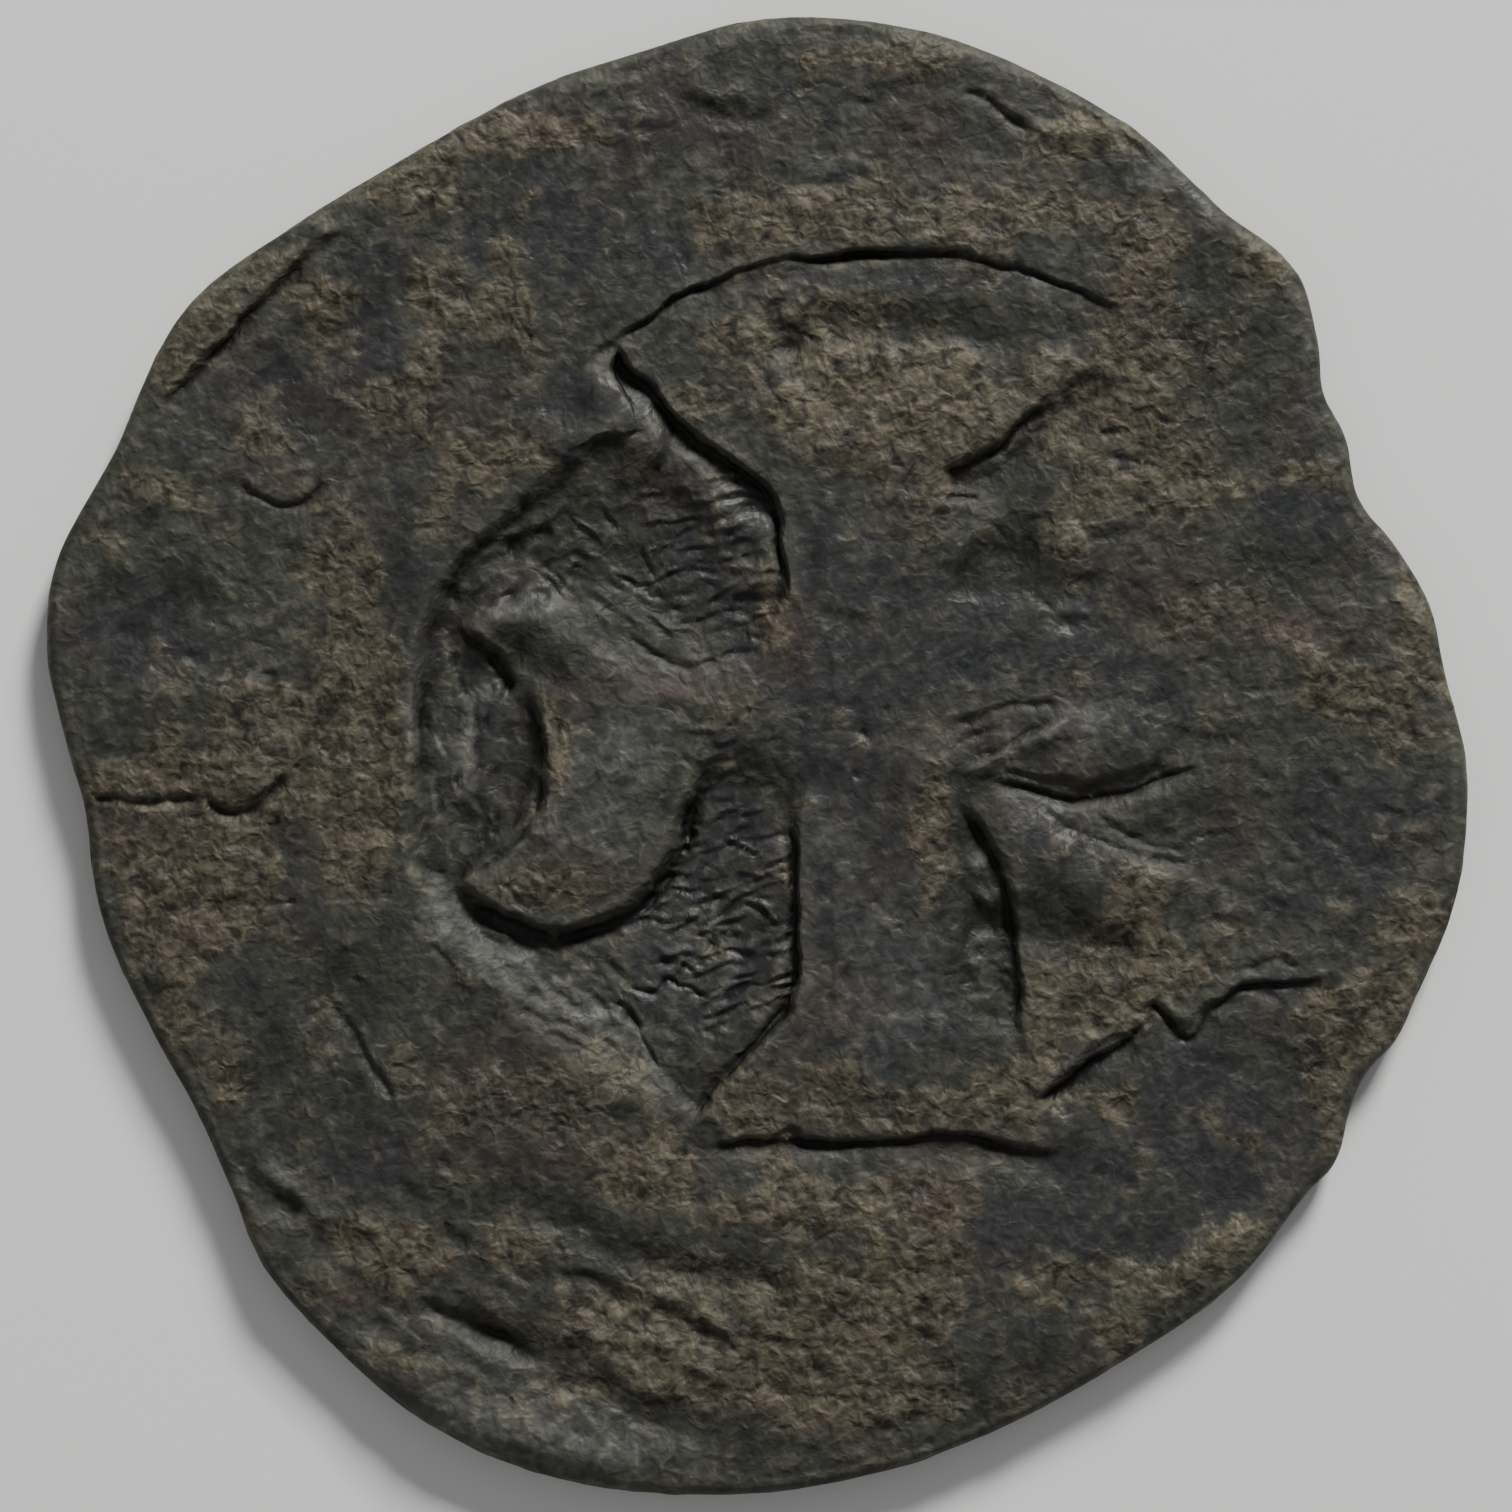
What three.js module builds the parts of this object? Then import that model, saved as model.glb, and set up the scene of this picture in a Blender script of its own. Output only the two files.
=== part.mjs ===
import * as THREE from "three";

// Medieval penny: a hammered silver coin that lies with its cross side up.
// Millimetres, +Z up. The underside rests on z = 0 and the flan's middle is at x = y = 0.

// Levels above the surface that the coin lies on
const ringLevel = 0.6;       // the worn border outside the inner circle
const floorLevel = 0.38;     // the sunk quadrants beside the cross
const weakLevel = 0.59;      // the right half, where the die hardly bit
const edgeLevel = 0.4;       // where the top rolls over into the rim
const chamferLevel = 0.11;   // where the rim turns under

// Reaches across the flan
const rollWidth = 0.35;      // of the rounded top edge
const underRoll = 0.6;       // of the rounded lower edge
const underInset = 0.08;     // how far the rim leans in towards the underside
const weakStart = 1.2;       // x where the weak strike begins
const weakSpan = 1;
const scarpFace = 0.34;      // of a scarp's steep face

// The plainer underside: a flat border, a sunk field, and a worn cross with pellets
const back = {
  fieldRadius: 5.8, recess: 0.08, slope: 0.55,
  armReach: 5, armNeck: 0.65, armFlare: 1.6, armRise: 0.06,
  pelletOut: 3.1, pelletRadius: 0.9, pelletRise: 0.05,
};

// Lattice fineness: rings of facets from the middle to the edge
const topRings = 34;
const underRings = topRings / 2;
const drawReach = 0.15;      // lattice points this close to a struck edge are drawn to it
const drawShare = 0.85;

// The flan's uneven outline: degrees from +X and the reach from the middle
const edgeHips = [
  [0, 9.4], [7, 9.2], [13, 9.15], [18, 8.95], [23, 8.7], [29, 8.9], [33, 8.95], [37, 9.3],
  [41, 9.6], [50, 9.55], [60, 9.75], [66, 9.8], [76, 9.9], [90, 9.8], [100, 9.5], [107, 9.4],
  [118, 9.25], [122, 9.25], [130, 9.35], [142, 9.65], [154, 9.45], [167, 9.65], [172, 9.5],
  [178, 9.2], [184, 8.95], [193, 8.95], [204, 8.8], [213, 8.8], [220, 9.05], [226, 9.4],
  [232, 9.55], [248, 9.9], [265, 9.8], [273, 9.7], [280, 9.6], [290, 9.45], [300, 9.35],
  [313, 9.4], [322, 9.3], [325, 9.35], [329, 9.15], [333, 9.1], [336, 9.25], [341, 9.3],
  [348, 9.45], [355, 9.45],
];

// The inner circle: degrees and reach from the cross's middle
const crossMiddle = new THREE.Vector2(1.4, 0.85);
const circleHips = [
  [0, 6], [30, 6], [59, 6.1], [65, 6.15], [73, 6.05], [82, 5.95], [92, 5.85], [101, 5.8], [109, 5.75],
  [119, 5.74], [124, 5.7], [127, 5.45], [130, 4.75], [132, 4.7], [137, 4.92], [144, 4.98], [151, 5.2],
  [156, 5.35], [162, 5.6], [167, 5.76], [175, 5.83], [189, 6], [197, 6.2], [202, 6.3], [207, 6.25],
  [212, 6.1], [218, 5.95], [228, 5.85], [240, 5.9], [247, 6], [254, 6.1], [261, 5.95], [279, 5.92],
  [286, 6.15], [294, 6.55], [305, 6.3], [330, 6],
];
// The width of the slope between the ring and what lies inside it
const slopeHips = [
  [20, 2.2], [52, 1.6], [60, 0.3], [122, 0.3], [150, 0.35], [200, 0.35], [210, 0.9], [235, 1.2],
  [246, 0.6], [252, 0.3], [290, 0.4], [300, 1.6], [330, 2.2],
];
// How far the ring's inner lip stands above the ring, or below it
const lipHips = [
  [45, 0.01], [65, 0.03], [90, 0.04], [118, 0.03], [130, 0.01], [160, 0.02], [180, 0.05], [200, 0.02],
  [225, 0.01], [252, -0.07], [290, -0.07], [300, 0],
];
const lipOut = 0.25;
const lipWidth = 0.6;

// The cross's arms, each running out from its middle.
// A station is the way along the arm, its reach to the left and its reach to the right.
const arms = [
  {
    name: "upper", toward: [0, 1], level: 0.595, slope: 0.26, bulge: 0.01, endDip: -0.3,
    stations: [
      [-0.8, 0.9, 1], [0.2, 1, 1.1], [1.35, 1.05, 1.08], [2.55, 1.12, 1.02], [3, 1.62, 1.15],
      [3.5, 2.3, 1.95], [4.3, 3, 2.95], [4.7, 3.3, 3.25], [5.5, 3.3, 3.3],
    ],
  },
  {
    name: "lower", toward: [0, -1], level: 0.595, slope: 0.26, bulge: 0.01, endDip: -0.3,
    stations: [
      [-0.8, 1, 0.9], [0.2, 1.05, 0.9], [1.5, 0.8, 0.9], [2.5, 0.95, 0.9], [3.3, 1.2, 0.87],
      [4.15, 1.6, 0.92], [4.5, 1.85, 1.25], [5, 2.15, 1.7], [5.4, 2.6, 2.05], [6, 2.65, 2.2],
    ],
  },
  {
    name: "left", toward: [-1, 0], level: 0.575, slope: 0.35, bulge: 0.05, endDip: 1.05,
    stations: [
      [0, 1.2, 1], [1.05, 1.3, 1.2], [1.6, 1.15, 0.6], [2.25, 1.5, 0.45], [2.6, 2.3, 0.5],
      [3.1, 2.85, 0.75], [3.7, 3.1, 1.1], [4.4, 3.2, 1.2], [5.3, 2.5, 0.85],
    ],
  },
];
const bulgeReach = 0.5;

// Places where the struck steps are gentler: x, y, radius and how many times wider
const softSteps = [
  [-0.9, -1, 0.6, 2], [-2.2, 1.9, 0.8, 2], [-0.9, 1.3, 0.8, 4], [0, -0.4, 0.5, 4], [2.4, -1.5, 0.9, 4],
  [2.5, 2.6, 0.9, 2.5], [0.2, 1.9, 0.6, 2], [-3.6, 2.6, 0.7, 2],
];

// Ridges, with a rise above 0, and grooves below it, each along a run of places.
// The widths are to the left and the right of the run, so that one side can be steep.
const strokes = [
  {
    name: "pocket beside the lower arm", rise: -0.13, widths: [0.2, 0.55],
    run: [[2.65, -0.6], [2.95, -1.2], [3.2, -1.9], [3.3, -2.8], [3.38, -4]],
  },
  {
    name: "hollow under the upper arm's right flare", rise: -0.1, widths: [0.2, 0.5],
    run: [[2.4, 3.75], [2.75, 3.82], [3.3, 4.2], [3.9, 4.7], [4.4, 5.1]],
  },
  {
    name: "hollow right of the upper arm", rise: -0.09, widths: [0.4, 0.35],
    run: [[2.6, 2.7], [3.1, 2.6], [3.8, 2.6]],
  },
  {
    name: "groove below the right arm", rise: -0.14, widths: [0.22, 0.26],
    run: [[2.9, -0.37], [3.8, -0.42], [4.63, -0.46], [5.2, -0.32], [5.8, -0.1]],
  },
  {
    name: "crest of the right wedge", rise: 0.09, widths: [0.4, 0.25],
    run: [[3, -0.65], [3.55, -1], [4, -1.25], [4.65, -1.5], [5.45, -1.65], [6.3, -1.9]],
  },
  {
    name: "facet below that crest", rise: -0.12, widths: [0.4, 0.4],
    run: [[3.5, -1.5], [3.85, -1.95], [4.35, -2.25]],
  },
  {
    name: "swell of the right arm", rise: 0.07, widths: [0.5, 0.3],
    run: [[3.6, 0], [4.26, 0.12], [4.9, 0.2], [5.6, 0.2]],
  },
  {
    name: "ridge at the right arm's apex", rise: 0.05, widths: [0.25, 0.22],
    run: [[2, -0.6], [2.15, -0.1], [2.45, 0.1], [2.9, 0]],
  },
  {
    name: "strip right of the lower arm", rise: 0.03, widths: [0.3, 0.35],
    run: [[2.15, -0.5], [2.2, -1.3], [2.25, -2.2]],
  },
  {
    name: "ridge beside the upper arm's left flare", rise: 0.08, widths: [0.2, 0.22],
    run: [[-1.8, 4.75], [-1.4, 4.4], [-0.9, 3.85], [-0.4, 3.35], [-0.05, 3.1]],
  },
  {
    name: "rise above the left arm", rise: 0.07, widths: [0.6, 0.6],
    run: [[-3.3, 2.3], [-2.5, 2.35], [-1.5, 1.9], [-0.5, 1.7]],
  },
  {
    name: "hollow under the upper horn", rise: -0.06, widths: [0.3, 0.4],
    run: [[-3.3, 1.45], [-2.9, 1.3], [-2.4, 1.35]],
  },
  {
    name: "crest of the left arm", rise: 0.04, widths: [0.5, 0.35],
    run: [[-2.6, 0.6], [-2.55, 0], [-2.6, -0.8], [-2.9, -1.4]],
  },
  {
    name: "streak at the lower left", rise: 0.05, widths: [0.2, 0.2],
    run: [[-6.75, -5.15], [-6.1, -5.8], [-5.3, -6.3]],
  },
  {
    name: "ledge at the lower left", rise: -0.07, widths: [0.2, 0.25],
    run: [[-7, -5.2], [-6.5, -5.75], [-5.95, -6.1]],
  },
  {
    name: "trough at the lower left", rise: -0.07, widths: [0.28, 0.28],
    run: [[-4.7, -7], [-3.8, -7.5], [-3, -7.9], [-2.2, -8.3], [-1.3, -8.75], [0, -8.95]],
  },
  {
    name: "hollow below the lower arm", rise: -0.06, widths: [0.3, 0.3],
    run: [[-2.7, -6.1], [-1.8, -6.5], [-0.6, -6.85], [0.6, -6.9]],
  },
  {
    name: "lower left rim", rise: 0.06, widths: [0.45, 0.35],
    run: [[-5.3, -7.7], [-4.2, -8.5], [-2.6, -9.15], [-1, -9.4]],
  },
  {
    name: "lower right rim", rise: 0.05, widths: [0.35, 0.35],
    run: [[4.4, -7.9], [5.5, -7], [6.7, -6.1], [7.4, -5.2]],
  },
];

// Scarps, where the metal on the left of a run stands higher.
// Each has its rise and its drop, how far they reach, and the run.
const scarps = [
  {
    name: "above the upper arm", rises: [0.07, 0.07], reaches: [0.7, 0.4],
    run: [
      [-1.88, 5.54], [-1.23, 6.03], [-0.3, 6.46], [0.95, 6.72], [1.83, 6.75], [3.31, 6.56], [4.51, 6.14],
    ],
  },
  {
    name: "left of the break", rises: [0.06, 0.08], reaches: [0.35, 0.35],
    run: [[3.73, -4.52], [4.22, -4.13], [5.04, -3.64]],
  },
  {
    name: "right of the break", rises: [0.05, 0.07], reaches: [0.3, 0.3],
    run: [[4.92, -3.39], [5.2, -3.23], [5.7, -3.68], [6.27, -3.06], [7.57, -2.83]],
  },
  {
    name: "right of the pocket", rises: [0.02, 0.08], reaches: [0.3, 0.5],
    run: [[2.7, -0.44], [2.99, -0.93], [3.32, -1.49], [3.44, -2.16], [3.49, -3.8]],
  },
  {
    name: "right wedge", rises: [0.02, 0.06], reaches: [0.4, 0.45],
    run: [[3.2, -0.8], [3.6, -1.2], [4, -1.5], [4.5, -1.65], [5.2, -1.75]],
  },
  {
    name: "foot of the lower arm", rises: [0.01, 0.1], reaches: [0.3, 0.28],
    run: [[-0.82, -5.18], [0.2, -5.05], [2.5, -5.02], [4.15, -5.22]],
  },
  {
    name: "below the lower horn", rises: [0.02, 0.06], reaches: [0.3, 0.35],
    run: [[-3.92, -1.48], [-3.28, -2.1], [-2.75, -2.24], [-2.22, -2.17], [-1.56, -1.9], [-0.77, -1.04]],
  },
  {
    name: "strip at the upper left", rises: [0.035, 0.03], reaches: [0.4, 0.3],
    run: [[-7.95, 4.65], [-6.7, 5.95], [-5.5, 7.1]],
  },
];

// Round hollows and bumps: x, y, radius and rise
const dimples = [
  [-6.25, 3.75, 0.4, 0.06], [-6.75, -0.15, 0.45, 0.05], [-7.6, 2.5, 0.5, 0.03],
  [4.1, 3, 0.4, 0.05], [0.35, 5.5, 0.5, -0.06], [0.4, 6, 0.35, 0.03], [-1.1, 2.6, 0.9, -0.04],
  [-3, 2.8, 0.35, -0.04], [-0.3, -2, 0.9, -0.05], [-0.05, -0.35, 0.5, 0.12], [-3.6, 0.75, 0.3, 0.05],
  [-4, 0, 0.45, 0.04], [-3.8, -0.9, 0.35, -0.04], [5.2, -2.4, 1, 0.03], [6.5, -4.8, 1.6, -0.05],
  [7.6, 3, 1.8, -0.03], [-5, -5, 1.6, 0.03], [0, 8.3, 1.6, -0.03], [-7.8, -2, 1.5, -0.04],
  [3, -7.3, 1.5, 0.03],
];

const { lerp, clamp, smoothstep } = THREE.MathUtils;

function smooth(t) {
  return smoothstep(t, 0, 1);
}

function quarterRound(t) {
  return Math.sqrt(1 - (1 - clamp(t, 0, 1)) ** 2);
}

// The hips with two more at each end, a turn before and a turn after
function roundHips(hips) {
  const shifted = (turn, some) => some.map(([degrees, value]) => [degrees + turn, value]);
  return [...shifted(-360, hips.slice(-2)), ...hips, ...shifted(360, hips.slice(0, 2))];
}

function roundDegrees(angle) {
  return THREE.MathUtils.euclideanModulo(THREE.MathUtils.radToDeg(angle), 360);
}

// A value that flows through hips of degrees and value, as a function of the angle
function flowingCurve(hips) {
  const all = roundHips(hips);
  const curve = new THREE.CubicInterpolant(all.map((hip) => hip[0]), all.map((hip) => hip[1]), 1);
  return (angle) => curve.evaluate(roundDegrees(angle))[0];
}

// A value that levels out at each hip, as a function of the angle
function levelCurve(hips) {
  const all = roundHips(hips);
  return (angle) => {
    const degrees = roundDegrees(angle);
    const next = all.findIndex((hip) => hip[0] > degrees);
    const [[from, low], [to, high]] = [all[next - 1], all[next]];
    return lerp(low, high, smooth((degrees - from) / (to - from)));
  };
}

const edgeReach = flowingCurve(edgeHips);
const circleReach = flowingCurve(circleHips);
const circleSlope = levelCurve(slopeHips);
const lipRise = levelCurve(lipHips);

// The nearest place on a run: its distance, its side (positive to the left) and its share of the run
function nearestOnRun(point, run) {
  let nearest = { distance: Infinity };
  const step = new THREE.Vector2();
  const toPoint = new THREE.Vector2();
  for (let i = 0; i + 1 < run.length; i += 1) {
    step.subVectors(run[i + 1], run[i]);
    toPoint.subVectors(point, run[i]);
    const along = clamp(toPoint.dot(step) / step.lengthSq(), 0, 1);
    const place = run[i].clone().addScaledVector(step, along);
    const distance = place.distanceTo(point);
    if (distance < nearest.distance) {
      const share = (i + along) / (run.length - 1);
      nearest = { distance, place, share, side: Math.sign(step.cross(toPoint)) };
    }
  }
  return nearest;
}

function insideLoop(point, loop) {
  let inside = false;
  for (let i = 0; i + 1 < loop.length; i += 1) {
    const [from, to] = [loop[i], loop[i + 1]];
    const crosses = (from.y > point.y) !== (to.y > point.y);
    if (crosses && point.x < from.x + (to.x - from.x) * (point.y - from.y) / (to.y - from.y)) {
      inside = !inside;
    }
  }
  return inside;
}

// An arm's outline: out along its left side, across its dipped end and back along its right side
function armLoop({ toward: [ax, ay], stations, endDip }) {
  const place = (along, left) => new THREE.Vector2(
    crossMiddle.x + ax * along - ay * left,
    crossMiddle.y + ay * along + ax * left,
  );
  const [tipAlong, tipLeft, tipRight] = stations.at(-1);
  const end = [0.75, 0.5, 0.25].map((share) => place(
    tipAlong - endDip * 4 * share * (1 - share),
    lerp(-tipRight, tipLeft, share),
  ));
  const left = stations.map(([along, reach]) => place(along, reach));
  const right = stations.map(([along, , reach]) => place(along, -reach)).reverse();
  const loop = new THREE.SplineCurve([...left, ...end, ...right]).getPoints(90);
  return [...loop, loop[0]];
}

function circleLoop() {
  return Array.from({ length: 181 }, (_, i) => {
    const angle = (i / 180) * 2 * Math.PI;
    const reach = circleReach(angle);
    return new THREE.Vector2(Math.cos(angle), Math.sin(angle)).multiplyScalar(reach).add(crossMiddle);
  });
}

function runThrough(places, count) {
  return new THREE.SplineCurve(places.map(([x, y]) => new THREE.Vector2(x, y))).getPoints(count);
}

const armForms = arms.map((arm) => ({ ...arm, loop: armLoop(arm) }));
const strokeForms = strokes.map((stroke) => ({ ...stroke, run: runThrough(stroke.run, 24) }));
const scarpForms = scarps.map((scarp) => ({ ...scarp, run: runThrough(scarp.run, 30) }));
const struckEdges = [
  ...armForms.map((form) => form.loop),
  ...scarpForms.map((form) => form.run),
  circleLoop(),
];

function spot(point, [x, y, radius]) {
  return Math.exp(-((point.x - x) ** 2 + (point.y - y) ** 2) / radius ** 2);
}

// How many times wider the struck steps are at a point
function stepWidening(point) {
  return softSteps.reduce((wide, place) => wide * (1 + (place[3] - 1) * spot(point, place)), 1);
}

// A height raised to an arm's level where the arm covers the point
function overArm(height, point, widening, { level, slope, bulge, loop }) {
  const { distance } = nearestOnRun(point, loop);
  const depth = insideLoop(point, loop) ? distance : -distance;
  const armHeight = level + bulge * (1 - Math.exp(-Math.max(depth, 0) / bulgeReach));
  return lerp(height, armHeight, smooth(0.5 + depth / (slope * widening)));
}

function strokeRise(point, { rise, widths, run }) {
  const { distance, side, share } = nearestOnRun(point, run);
  const width = side > 0 ? widths[0] : widths[1];
  const fade = smooth(share / 0.2) * smooth((1 - share) / 0.2);
  return rise * fade * Math.exp(-((distance / width) ** 2));
}

function scarpRise(point, { rises, reaches, run }) {
  const { distance, side, share } = nearestOnRun(point, run);
  const reach = side > 0 ? reaches[0] : reaches[1];
  const fade = smooth(share / 0.1) * smooth((1 - share) / 0.1);
  const over = smooth(0.5 + (distance * side) / scarpFace);
  return fade * lerp(-rises[1], rises[0], over) * Math.exp(-((distance / reach) ** 2));
}

// The struck face's height, before the edge rolls over
function struckHeight(point) {
  const widening = stepWidening(point);
  let height = lerp(floorLevel, weakLevel, smooth((point.x - weakStart) / weakSpan));
  for (const form of armForms) {
    height = overArm(height, point, widening, form);
  }
  const fromCross = point.clone().sub(crossMiddle);
  const angle = fromCross.angle();
  const outside = fromCross.length() - circleReach(angle);
  const lip = lipRise(angle) * Math.exp(-(((outside - lipOut) / lipWidth) ** 2));
  height = lerp(height, ringLevel + lip, smooth(0.5 + outside / (circleSlope(angle) * widening)));
  for (const stroke of strokeForms) {
    height += strokeRise(point, stroke);
  }
  for (const scarp of scarpForms) {
    height += scarpRise(point, scarp);
  }
  for (const dimple of dimples) {
    height += dimple[3] * spot(point, dimple);
  }
  return height;
}

function topHeight(point) {
  const toEdge = edgeReach(point.angle()) - point.length();
  return lerp(edgeLevel, struckHeight(point), quarterRound(toEdge / rollWidth));
}

function underHeight(point) {
  const toEdge = edgeReach(point.angle()) - underInset - point.length();
  const along = Math.max(Math.abs(point.x), Math.abs(point.y));
  const across = Math.min(Math.abs(point.x), Math.abs(point.y));
  const armHalf = lerp(back.armNeck, back.armFlare, (along / back.armReach) ** 2);
  const arm = smooth((armHalf - across) / back.slope + 0.5) * smooth((back.armReach - along) / back.slope);
  const pelletPlace = new THREE.Vector2(1, 1).setLength(back.pelletOut);
  const pelletAway = new THREE.Vector2(along, across).distanceTo(pelletPlace);
  const pellet = smooth((back.pelletRadius - pelletAway) / back.slope) * (1 - arm);
  const field = back.recess - back.armRise * arm - back.pelletRise * pellet;
  const sunk = field * smooth((back.fieldRadius - point.length()) / back.slope);
  return lerp(chamferLevel, sunk, quarterRound(toEdge / underRoll));
}

// A disc of nearly equal triangles: ring k has six times k points, and place puts each of them
function latticeDisc(rings, place) {
  const firstOf = (ring) => (ring === 0 ? 0 : 1 + 3 * ring * (ring - 1));
  const indexAt = (ring, step) => firstOf(ring) + (ring === 0 ? 0 : step % (6 * ring));
  const points = [place(0, 0)];
  const faces = [];
  for (let ring = 1; ring <= rings; ring += 1) {
    for (let step = 0; step < 6 * ring; step += 1) {
      points.push(place(ring / rings, (step / (6 * ring)) * 2 * Math.PI));
    }
    for (let sextant = 0; sextant < 6; sextant += 1) {
      for (let i = 0; i < ring; i += 1) {
        const outer = indexAt(ring, sextant * ring + i);
        const outerNext = indexAt(ring, sextant * ring + i + 1);
        const inner = indexAt(ring - 1, sextant * (ring - 1) + i);
        faces.push([outer, outerNext, inner]);
        if (i + 1 < ring) {
          faces.push([inner, outerNext, indexAt(ring - 1, sextant * (ring - 1) + i + 1)]);
        }
      }
    }
  }
  return { points, faces, rimStart: firstOf(rings) };
}

// A lattice point close to a struck edge moves nearly onto it, so that the edge runs true
function drawnToEdge(point) {
  const near = struckEdges
    .map((loop) => nearestOnRun(point, loop))
    .reduce((best, next) => (next.distance < best.distance ? next : best));
  return near.distance < drawReach ? point.clone().lerp(near.place, drawShare) : point;
}

function flanPlace(share, angle, inset) {
  const radius = share * (edgeReach(angle) - inset);
  return new THREE.Vector2(radius * Math.cos(angle), radius * Math.sin(angle));
}

function topPoint(share, angle) {
  const flat = drawnToEdge(flanPlace(share, angle, 0));
  return new THREE.Vector3(flat.x, flat.y, topHeight(flat));
}

function underPoint(share, angle) {
  const flat = flanPlace(share, angle, underInset);
  return new THREE.Vector3(flat.x, flat.y, underHeight(flat));
}

// The closed coin: the struck face above, the underside below, and the rim stitched between them
function coinGeometry() {
  const top = latticeDisc(topRings, topPoint);
  const under = latticeDisc(underRings, underPoint);
  const offset = top.points.length;
  const faces = [...top.faces, ...under.faces.map(([a, b, c]) => [offset + a, offset + c, offset + b])];
  const underCount = 6 * underRings;
  for (let step = 0; step < underCount; step += 1) {
    const highs = [0, 1, 2].map((i) => top.rimStart + ((2 * step + i) % (2 * underCount)));
    const [low, lowNext] = [0, 1].map((i) => offset + under.rimStart + ((step + i) % underCount));
    faces.push([low, highs[1], highs[0]], [low, lowNext, highs[1]], [lowNext, highs[2], highs[1]]);
  }
  const geometry = new THREE.BufferGeometry().setFromPoints([...top.points, ...under.points]);
  geometry.setIndex(faces.flat());
  geometry.computeBoundingBox();
  const { min, max } = geometry.boundingBox;
  geometry.translate(-(min.x + max.x) / 2, -(min.y + max.y) / 2, -min.z);
  geometry.computeVertexNormals();
  return geometry;
}

function patinatedSilver() {
  return new THREE.MeshStandardMaterial({ color: 0x3e3c36, roughness: 0.62, metalness: 0.55 });
}

function makePenny() {
  const penny = new THREE.Mesh(coinGeometry(), patinatedSilver());
  penny.name = "penny";
  return penny;
}

const coin = new THREE.Group();
coin.add(makePenny());

export default coin;
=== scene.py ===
import math
import bpy
import numpy as np
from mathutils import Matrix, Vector


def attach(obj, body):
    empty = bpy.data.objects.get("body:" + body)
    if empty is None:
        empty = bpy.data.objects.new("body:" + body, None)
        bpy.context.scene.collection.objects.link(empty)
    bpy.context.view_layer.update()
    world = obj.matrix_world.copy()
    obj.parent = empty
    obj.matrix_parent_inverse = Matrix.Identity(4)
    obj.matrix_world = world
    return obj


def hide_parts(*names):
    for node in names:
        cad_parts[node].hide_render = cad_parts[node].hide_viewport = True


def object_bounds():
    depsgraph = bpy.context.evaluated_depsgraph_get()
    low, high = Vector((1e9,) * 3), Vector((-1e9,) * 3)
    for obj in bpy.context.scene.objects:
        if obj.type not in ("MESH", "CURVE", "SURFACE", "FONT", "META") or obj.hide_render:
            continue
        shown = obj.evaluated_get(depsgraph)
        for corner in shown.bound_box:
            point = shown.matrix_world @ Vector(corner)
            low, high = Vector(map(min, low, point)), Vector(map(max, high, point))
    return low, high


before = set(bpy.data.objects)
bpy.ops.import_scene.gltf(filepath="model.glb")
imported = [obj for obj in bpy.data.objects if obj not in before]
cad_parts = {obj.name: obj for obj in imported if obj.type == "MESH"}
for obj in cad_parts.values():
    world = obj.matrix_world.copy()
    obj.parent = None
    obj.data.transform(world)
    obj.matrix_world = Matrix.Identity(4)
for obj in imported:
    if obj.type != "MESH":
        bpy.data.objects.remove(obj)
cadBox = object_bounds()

# Medieval penny, lying with its cross side up. Places and sizes are in millimetres until the mesh is made.
millimetre = 0.001

# The coin's levels, reaches and struck forms repeat the CAD part's, and the finer relief is added to them.
coin = {
    "node": "penny",
    "body": "root",
    "slot": "silver",
    "ring": 0.6,             # the worn border outside the inner circle
    "floor": 0.4,            # the sunk quadrants beside the cross
    "weak": 0.59,            # the right half, where the die hardly bit
    "weakStart": 1.2,        # x where the weak strike begins
    "weakSpan": 1,
    "cross": (1.4, 0.85),    # the cross's middle
    "bulgeReach": 0.6,       # how far in from its side an arm rounds up
    "lipOut": 0.25,
    "lipWidth": 0.6,
    "waver": 0.055,          # how far struck lines wander
    "crust": 0.012,          # how far the tan crust stands above the slate
    "edge": 0.42,            # where the top rolls over into the rim
    "roll": 0.24,            # width of the rounded top edge
    "grooveIn": 0.2,         # a faint groove just inside the edge
    "grooveWidth": 0.07,
    "grooveDepth": 0.03,
    "chamfer": 0.11,         # where the rim turns under
    "underRoll": 0.5,
    "underInset": 0.08,
    "wobble": 0.015,         # how far the outline strays from its curve
    "rimBulge": 0.004,       # shares of the reach
    "rimRough": 0.0018,
    "rimTint": 0.16,         # width of the greener edge, a little lighter as a painted edge highlight
    "topRings": 112,         # rings of facets from the middle to the edge
    "rimRings": 3,           # extra rings down the rim
    "halvings": (24000, 15500, 9500),  # edges halved in each round, where the face bends most
    "topSpare": 0.012,       # how far the finer relief may pass the CAD part's top
    "topSoft": 0.008,        # how gently it is held there
}

# Where each kind of noise begins its random draws
seeds = {
    "waverX": 71, "waverY": 75, "ragged": 81, "winding": 31, "grain": 35, "pits": 39, "swell": 41,
    "scores": 300, "edge": 61, "groove": 65, "wobble": 11, "rim": 15,
    "underSwell": 81, "underPits": 85, "strokes": 90,
    "tan": 101, "slate": 111, "russet": 121, "paleWearAndHighlight": 131, "darkGreenAndShade": 141,
}

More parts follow.
